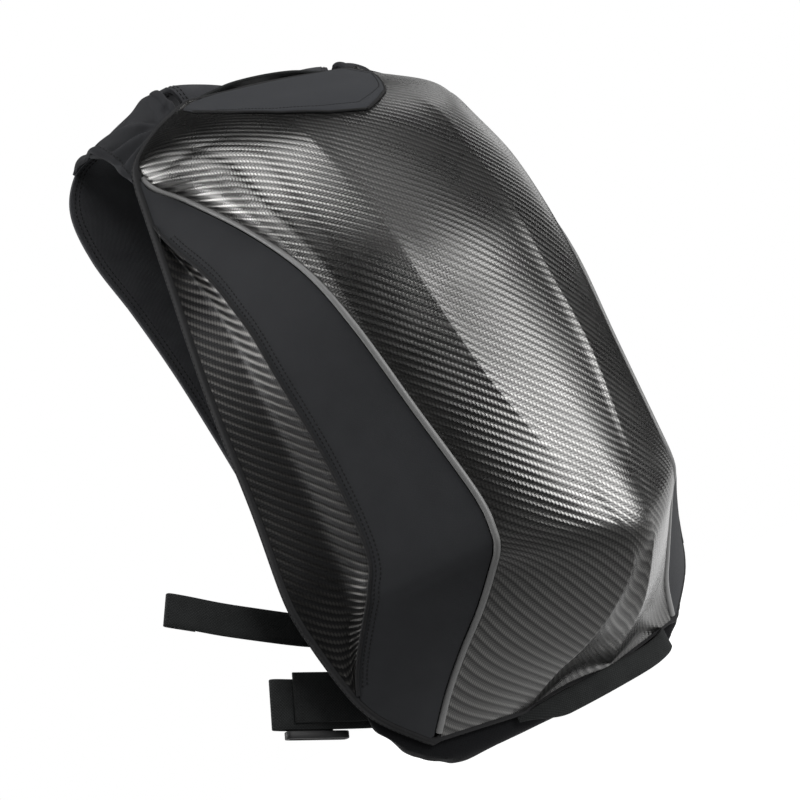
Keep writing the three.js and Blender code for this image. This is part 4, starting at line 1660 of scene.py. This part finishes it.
@dataclass
class Harness:
    """The shoulder straps, their gathered yokes, their buckles, webbing and free ends."""

    shop: Workshop
    strap_wall: float = 9.0
    strap_rows: tuple[tuple[Triple, Triple], ...] = (
        ((68, 21, 495), (14, 23, 489.5)), ((80, 36, 497), (26, 40, 497)),
        ((98, 54, 494), (42, 60, 499)), ((115, 70, 488), (56, 77, 494)),
        ((134, 82, 477), (70, 87, 478)), ((147, 87, 451), (81, 90, 448)),
        ((147, 86, 412), (81, 87, 408)), ((139.5, 78, 364), (75, 79, 360)),
        ((134, 69, 312), (71, 70, 308)), ((131, 60, 258), (71, 61, 255)),
        ((128, 53, 205), (72, 53, 202)), ((123, 47, 155), (72, 47, 153)),
        ((116, 44, 118), (75, 44, 118)),
    )
    strap_root: tuple[Triple, Triple] = ((61, 20.5, 482), (15, 21, 478))
    strap_lift: dict[Side, float] = field(
        default_factory=lambda: {Side.LEFT: 5.0, Side.RIGHT: -4.0})
    strap_lift_rows: int = 3
    strap_steps: int = 14
    strap_columns: int = 28
    strap_hem: float = 0.84
    strap_puff: Triple = (0.3, 0.55, 1.0)
    strap_rows_at: Pair = (0.8, 0.9)
    strap_ends: int = 6
    strap_stitch: Stitch = Stitch(3.4, 2.7, 0.5)
    yoke_wall: float = 2.0
    yoke_gap: float = 4 * CLEARANCE
    yoke_steps: tuple[int, int] = (120, 60)
    yoke_rim: Pair = (2.9, 0.15)
    yoke_rim_offset: float = 1.2
    yoke_strap: Pair = (4.9, 1.4)
    yoke_tuck: float = 0.8
    yoke_sag: float = 8.0
    yoke_arch: Pair = (13.0, 0.16)
    yoke_under: Triple = (60.0, 40.0, 300.0)
    yoke_hem: Pair = (6.5, 1.3)
    yoke_hem_fade: Pair = (0.86, 0.98)
    yoke_row_at: float = 1.2
    yoke_ends: int = 2
    yoke_stitch: Stitch = Stitch(2.8, 2.1, 0.45)
    fold_centre: Pair = (0.8, 0.02)
    fold_rays: tuple[Triple, ...] = (
        (0.16, 3.0, 0.07), (0.34, -3.6, 0.07), (0.52, 4.2, 0.08), (0.74, -3.4, 0.09),
        (0.98, 3.6, 0.1), (1.28, -3.2, 0.11), (1.6, 2.8, 0.13), (2.05, -2.6, 0.16),
        (2.55, 2.4, 0.2))
    fold_reach: Pair = (0.02, 0.3)
    fold_start: Pair = (0.0, 0.12)
    fold_end: Pair = (0.75, 1.0)
    adjuster: Buckle = Buckle((95, 44.4, 107.3), (1, 0, 0), (0, 0, 1), 34, 20, 5, 3.6, (-3.4, 2.6))
    lower_webbing: Band = Band(
        ((95, 44.4, 96.9), (95.6, 43, 82), (97, 37, 66), (98, 28.3, 52)), 12.5, (1, 0, 0))
    tails: dict[Side, Band] = field(default_factory=lambda: {
        Side.LEFT: Band(((-117.9, 43, 99), (-133, 41, 104), (-148, 38.4, 110.5), (-170, 37, 122),
                         (-192, 38.6, 135), (-212, 37.4, 147), (-222, 37, 152.8), (-224, 38.4, 154),
                         (-222, 39.8, 152.8), (-206, 40.2, 143.6)), 11, (0.5, 0, 0.87)),
        Side.RIGHT: Band(((121.4, 43, 99.4), (125, 42, 86), (127, 39.6, 60), (127.6, 40, 40),
                          (128, 38.6, 26), (128, 39.8, 24), (128, 41.2, 26), (127.8, 41.6, 40)),
                         12, (1, 0, 0.25)),
    })
    tail_tack: float = 0.69
    tail_stitch: Stitch = Stitch(2.2, 1.7)

    def build(self) -> None:
        """Builds both sides of the harness."""
        finishes = self.shop.finishes
        for side in Side:
            word, tail = side.word, self.tails[side]
            self.build_strap(side)
            self.build_yoke(side)
            enlist(self.lower_webbing.build("strap_webbing_band_" + word, finishes.webbing, side),
                   Slot.WEBBING, "strap_webbing_" + word)
            enlist(tail.build("strap_tail_band_" + word, finishes.webbing),
                   Slot.WEBBING, "strap_tail_" + word)
            self.shop.sew("strap_tail_stitches_" + word, tail.tacks(self.tail_tack),
                          self.tail_stitch)
            enlist(self.adjuster.build("ladder_buckle_" + word, finishes.plastic, side),
                   Slot.BUCKLE_PLASTIC, "strap_adjuster_" + word)

    def strap_edges(self, side: Side) -> tuple[np.ndarray, np.ndarray]:
        """Outer and inner edge points of a strap from its root, lifted outside beside the yoke.

        Args:
            side: The side of the bag.

        Returns:
            Points of the outer and of the inner edge.
        """
        rows = np.array(self.strap_rows, float)
        fade = np.maximum(1 - np.arange(len(rows)) / self.strap_lift_rows, 0)
        rows[:, 0, 2] += self.strap_lift[side] * fade
        rows = np.concatenate([[self.strap_root], rows])
        return rows[:, 0], rows[:, 1]

    def strap_frames(self, side: Side,
                     at: np.ndarray | None = None) -> tuple[np.ndarray, np.ndarray]:
        """Middles and half widths across a strap on the right half.

        Args:
            side: The side whose lift the strap takes.
            at: Rows of the strap's table, or None for all of it in even steps.

        Returns:
            The middles and the directions from them to the outer edge.
        """
        outer, inner = self.strap_edges(side)
        if at is None:
            at = spread(0, len(outer) - 1, self.strap_steps * (len(outer) - 1))
        return smooth_curve((outer + inner) / 2, at), smooth_curve((outer - inner) / 2, at)

    def build_strap(self, side: Side) -> None:
        """Builds a padded strap whose edges are sewn flat.

        Args:
            side: The side of the bag.
        """
        line, over = self.strap_frames(side)
        face = unit(np.cross(np.gradient(line, axis=0), over))
        share = np.sin(spread(-1, 1, self.strap_columns) * math.pi / 2)
        hem, (edge, sewn, crown) = self.strap_hem, self.strap_puff
        margin = np.sqrt(np.clip(1 - np.abs(share), 0, 1) / (1 - hem))
        round_share = np.sqrt(np.clip(1 - (share / hem) ** 2, 0, 1))
        puff = np.where(np.abs(share) > hem, mixed((edge, sewn), margin),
                        mixed((sewn, crown), round_share))
        half = self.strap_wall / 2
        section = [*zip(share, puff), *zip(share[::-1], -puff[::-1])]
        grid = np.stack([line + over * u + face * (p * half) for u, p in section], axis=1)
        draft = MeshDraft()
        draft.add_loft(mirrored(grid, side))
        strap = draft.finish("shoulder_pad_" + side.word, self.shop.finishes.padding, SHARP_ROLL)
        enlist(strap, Slot.PADDING_FABRIC, "shoulder_strap_" + side.word)
        rows = []
        for place in self.strap_rows_at:
            for u in (-place, place):
                rise = half * np.interp(u, share, puff)
                rows += [
                    mirrored(line + over * u + face * v, side)[self.strap_ends:-self.strap_ends]
                    for v in (rise, -rise)]
        self.shop.sew("shoulder_pad_stitches_" + side.word, rows, self.strap_stitch)

    def build_yoke(self, side: Side) -> None:
        """Builds a gathered yoke from the rim to the edge of its strap.

        Args:
            side: The side of the bag.
        """
        share, rise = (spread(0, 1, count) for count in self.yoke_steps)
        start = (FORM.rim(mixed(self.yoke_rim, share))
                 + np.array([self.yoke_rim_offset, 0, self.yoke_rim_offset]))
        start[:, 1] = BINDING_BACK_Y - self.yoke_tuck
        centre, over = self.strap_frames(side, mixed(self.yoke_strap, share))
        end = centre + over + unit(over) * (self.yoke_gap + self.yoke_wall)
        grid = start[:, None] + (end - start)[:, None] * rise[:, None]
        height, reach = self.yoke_arch
        arch = height * np.exp(-((share / reach) ** 2))
        grid[..., 2] += np.sin(math.pi * rise) * (self.yoke_sag + arch)[:, None]
        out = grid_normals(grid, np.array(self.yoke_under))
        hems = self.hems(grid) * (1 - ramp(rise, *self.yoke_hem_fade))
        grid = grid + out * (self.folds(share, rise) + hems)[..., None]
        outer = mirrored(smoothed(grid, 1, 1), side)
        inner = outer - mirrored(out, side) * self.yoke_wall
        draft = MeshDraft()
        draft.add_wall(outer, inner, cloth_uv(outer, 0, 0))
        yoke = draft.finish("yoke_cloth_" + side.word, self.shop.finishes.yoke, SHARP_SHEET)
        enlist(yoke, Slot.YOKE_FABRIC, "strap_yoke_" + side.word)
        declare_sheet(yoke, outer, "gathered", "rim_binding_tape", "shoulder_pad_" + side.word)
        at = np.abs(run_lengths(grid, 0) - self.yoke_hem[0] - self.yoke_row_at).argmin(axis=0)
        hem = outer[at, np.arange(outer.shape[1])][self.yoke_ends:-self.yoke_ends]
        self.shop.sew("yoke_stitches_" + side.word, [hem], self.yoke_stitch)

    def folds(self, share: np.ndarray, rise: np.ndarray) -> np.ndarray:
        """Heights of the gathers, which spread from one place on the rim like a fan.

        Args:
            share: Shares of the way along the rim.
            rise: Shares of the way from the rim to the strap.

        Returns:
            One height for each pair of shares, in millimetres.
        """
        centre, root = self.fold_centre
        along, away = centre - share[:, None], rise[None, :] + root
        angle = np.arctan2(away, along)
        fan = sum(height * np.exp(-(((angle - at) / width) ** 2))
                  for at, height, width in self.fold_rays)
        fan = fan * ramp(np.hypot(along, away), *self.fold_reach)
        return fan * (1 - ramp(away, *self.fold_end)) * ramp(away, *self.fold_start)

    def hems(self, grid: np.ndarray) -> np.ndarray:
        """Heights of the rolled hems along the two free edges.

        Args:
            grid: The yoke's surface in rows and columns.

        Returns:
            One height for each point, in millimetres.
        """
        width, height = self.yoke_hem
        ahead = run_lengths(grid, 0)
        edge = np.minimum(ahead, run_lengths(grid[::-1], 0)[::-1])
        return height * np.sqrt(np.clip(1 - (edge / width * 2 - 1) ** 2, 0, 1))


@dataclass
class Carrying:
    """The grab handle and the stowed waist belt."""

    shop: Workshop
    handle: Band = Band(((-54, 11, 482.5), (-45, 11, 484.6), (-26, 11, 488.4), (0, 11, 489.6),
                         (26, 11, 488.4), (45, 11, 484.6), (54, 11, 482.5)),
                        5, (0, 1, 0), wall=2.2)
    belt_left: Band = Band(((-122, 30, 45), (-140, 32.6, 52.5), (-168, 34.2, 64), (-182, 34.6, 70),
                            (-185.4, 36.4, 71.4), (-182, 38.2, 70), (-168, 38.8, 64),
                            (-146, 39, 55)),
                           16.5, (0.38, 0, 0.92))
    belt_flap: Band = Band(((-124, 28, 50.6), (-140, 30, 57), (-158, 31.4, 64.4), (-171, 32, 69.6)),
                           16.5, (0.38, 0, 0.92))
    belt_right: Band = Band(((-44, 0.5, -6.2), (-30, -4.5, -8.2), (-14, -7.6, -10),
                             (6, -9.8, -10.1), (36, -11, -9.6), (66, -11.4, -8.4), (84, -9.4, -6),
                             (95, -3.9, -3), (100, 4, -1), (98, 11, 0)),
                            7.9, (0, 0.05, 1), wall=2.6, start=0.3, opened_at=0.26)
    slider: Buckle = Buckle(
        (-165, 36.4, 41.6), (0.925, 0, -0.379), (0, 1, 0), 44, 8, 5, 2.4, (0.0,))
    handle_tacks: tuple[float, ...] = (0.04, 0.1, 0.9, 0.96)
    flap_tacks: tuple[float, ...] = (0.9, 0.97)
    stitch: Stitch = Stitch(2.2, 1.7)

    def build(self) -> None:
        """Builds the webbing pieces, their stitches and the belt's slider."""
        webbing = self.shop.finishes.webbing
        for name, band, node in (("grab_handle_band", self.handle, "grab_handle"),
                                 ("waist_belt_band_left", self.belt_left, "waist_belt_left"),
                                 ("waist_belt_band_right", self.belt_right, "waist_belt_right")):
            enlist(band.build(name, webbing), Slot.WEBBING, node)
        enlist(self.belt_flap.build("waist_belt_flap", webbing), Slot.WEBBING)
        slider = self.slider.build("waist_belt_tri_glide", self.shop.finishes.plastic)
        enlist(slider, Slot.BUCKLE_PLASTIC, "waist_belt_slider")
        tacks = self.handle.tacks(*self.handle_tacks) + self.belt_flap.tacks(*self.flap_tacks)
        self.shop.sew("carrying_stitches", tacks, self.stitch)


def direction(azimuth: float, elevation: float) -> Vector:
    """The way out from the bag at angles in degrees, from its front towards its right, and up."""
    a, e = math.radians(azimuth), math.radians(elevation)
    return Vector((math.sin(a) * math.cos(e), -math.cos(a) * math.cos(e), math.sin(e)))


@dataclass(frozen=True)
class Softbox:
    """A square soft lamp, placed by its direction from the bag's middle."""

    name: str
    azimuth: float
    elevation: float
    power: float
    distance: float = 1.5
    size: float = 0.5


@dataclass
class Studio:
    """The pale floor, the lamps and the camera."""

    azimuth: float = 33.74
    elevation: float = -9.65
    roll: float = 25.81
    distance: float = 1059.4
    focal: float = 1596.49
    aim: Triple = (0, -80, 240)
    slide: Pair = (-42.69, -48.13)
    picture: int = 800
    sensor: float = 36.0
    far: float = 50.0
    floor_half: float = 6.0
    floor_colour: Colour = (0.1, 0.1, 0.1)
    floor_roughness: float = 0.9
    glow_way: Pair = (0.6, 0.8)
    glow_span: Pair = (-0.15, 0.2)
    glow: Pair = (0.1, 1.2)
    room_light: float = 0.002
    softboxes: tuple[Softbox, ...] = (
        Softbox("front_softbox", 30, 6, 5.7),
        Softbox("front_left_softbox", 10, 6, 6.3),
        Softbox("front_fill", 30, 26, 1.7),
        Softbox("front_right_fill", 40, 12, 2.0),
        Softbox("left_softbox", -130, 26, 8.8),
        Softbox("left_high_fill", -80, 36, 4.2),
        Softbox("left_fill", -100, 24, 1.8),
        Softbox("left_back_fill", -148, 12, 1.6),
        Softbox("left_top_softbox", -45, 58, 4.6),
        Softbox("top_softbox", 0, 60, 4.2),
        Softbox("top_fill", 30, 48, 0.65),
        Softbox("right_softbox", 100, 26, 1.6),
        Softbox("right_top_softbox", 100, 48, 1.0),
        Softbox("rim_softbox", 125, 30, 0.7, distance=1.6, size=0.6),
    )

    def build(self) -> None:
        """Sets up the studio."""
        self.build_camera()
        self.build_floor()
        self.build_world()
        for box in self.softboxes:
            self.build_softbox(box)

    def build_camera(self) -> None:
        """Places the camera at the picture's viewing angle."""
        r = math.radians(self.roll)
        back = direction(-self.azimuth, self.elevation)
        level = (-back).cross(Vector((0, 0, 1))).normalized()
        upright = level.cross(-back)
        right = math.cos(r) * level - math.sin(r) * upright
        up = math.sin(r) * level + math.cos(r) * upright
        target = Vector(self.aim) + right * self.slide[0] + up * self.slide[1]
        eye = Vector(placed(np.array(target + back * self.distance)))
        data = bpy.data.cameras.new("camera")
        data.sensor_width = self.sensor
        data.lens = self.focal * self.sensor / self.picture
        data.clip_end = self.far
        camera = linked("camera", data)
        axes = Matrix((right, up, back)).transposed().to_4x4()
        camera.matrix_world = Matrix.Translation(eye) @ axes
        bpy.context.scene.camera = camera

    def build_floor(self) -> None:
        """Lays a plain pale floor that glows mostly behind the bag."""
        corners = [(x * self.floor_half, y * self.floor_half, 0)
                   for x, y in ((-1, -1), (1, -1), (1, 1), (-1, 1))]
        mesh = bpy.data.meshes.new("floor")
        mesh.from_pydata(corners, [], [(0, 1, 2, 3)])
        s = ShaderSketch("floor_paint")
        parts = s.add("SeparateXYZ", {0: s.place()})
        behind = s.weighed(parts.outputs[0], self.glow_way[0], parts.outputs[1], self.glow_way[1])
        beside = s.add("MapRange", {
            "Value": behind, "From Min": self.glow_span[0], "From Max": self.glow_span[1],
            "To Min": self.glow[0], "To Max": self.glow[1]})
        seen = s.add("LightPath").outputs["Is Camera Ray"]
        glow = s.math("MAXIMUM", seen, beside.outputs[0])
        mesh.materials.append(s.dress(Base_Color=self.floor_colour, Roughness=self.floor_roughness,
                                      Emission_Color=(1.0, 1.0, 1.0), Emission_Strength=glow))
        linked("floor", mesh)

    def build_world(self) -> None:
        """Gives the room a plain white backdrop that lights the bag only a little."""
        world = bpy.data.worlds.new("room")
        world.use_nodes = True
        tree = world.node_tree
        shown = tree.nodes["Background"]
        shown.inputs["Color"].default_value = (1, 1, 1, 1)
        path, mix = tree.nodes.new("ShaderNodeLightPath"), tree.nodes.new("ShaderNodeMapRange")
        mix.inputs["To Min"].default_value = self.room_light
        mix.inputs["To Max"].default_value = 1.0
        tree.links.new(path.outputs["Is Camera Ray"], mix.inputs["Value"])
        tree.links.new(mix.outputs[0], shown.inputs["Strength"])
        bpy.context.scene.world = world
        bpy.context.scene.view_settings.view_transform = "Standard"

    @staticmethod
    def build_softbox(box: Softbox) -> None:
        """Hangs a lamp that faces the bag's middle.

        Args:
            box: The lamp's place, size and power.
        """
        out = direction(box.azimuth, box.elevation)
        data = bpy.data.lights.new(box.name, "AREA")
        data.shape = "RECTANGLE"
        data.size = data.size_y = box.size
        data.energy = box.power
        lamp = linked(box.name, data)
        turn = (-out).to_track_quat("-Z", "Y").to_matrix().to_4x4()
        lamp.matrix_world = Matrix.Translation(Vector(placed(INSIDE)) + out * box.distance) @ turn


def main() -> None:
    """Builds the studio and the bag, one sub-assembly after the other."""
    logging.basicConfig(level=logging.INFO, format="%(name)s %(message)s")
    Studio().build()
    shop = Workshop()
    for assembly in (HardShell, Flanks, RimBinding, PaddedBack, Harness, Carrying):
        assembly(shop).build()


if __name__ == "__main__":
    main()
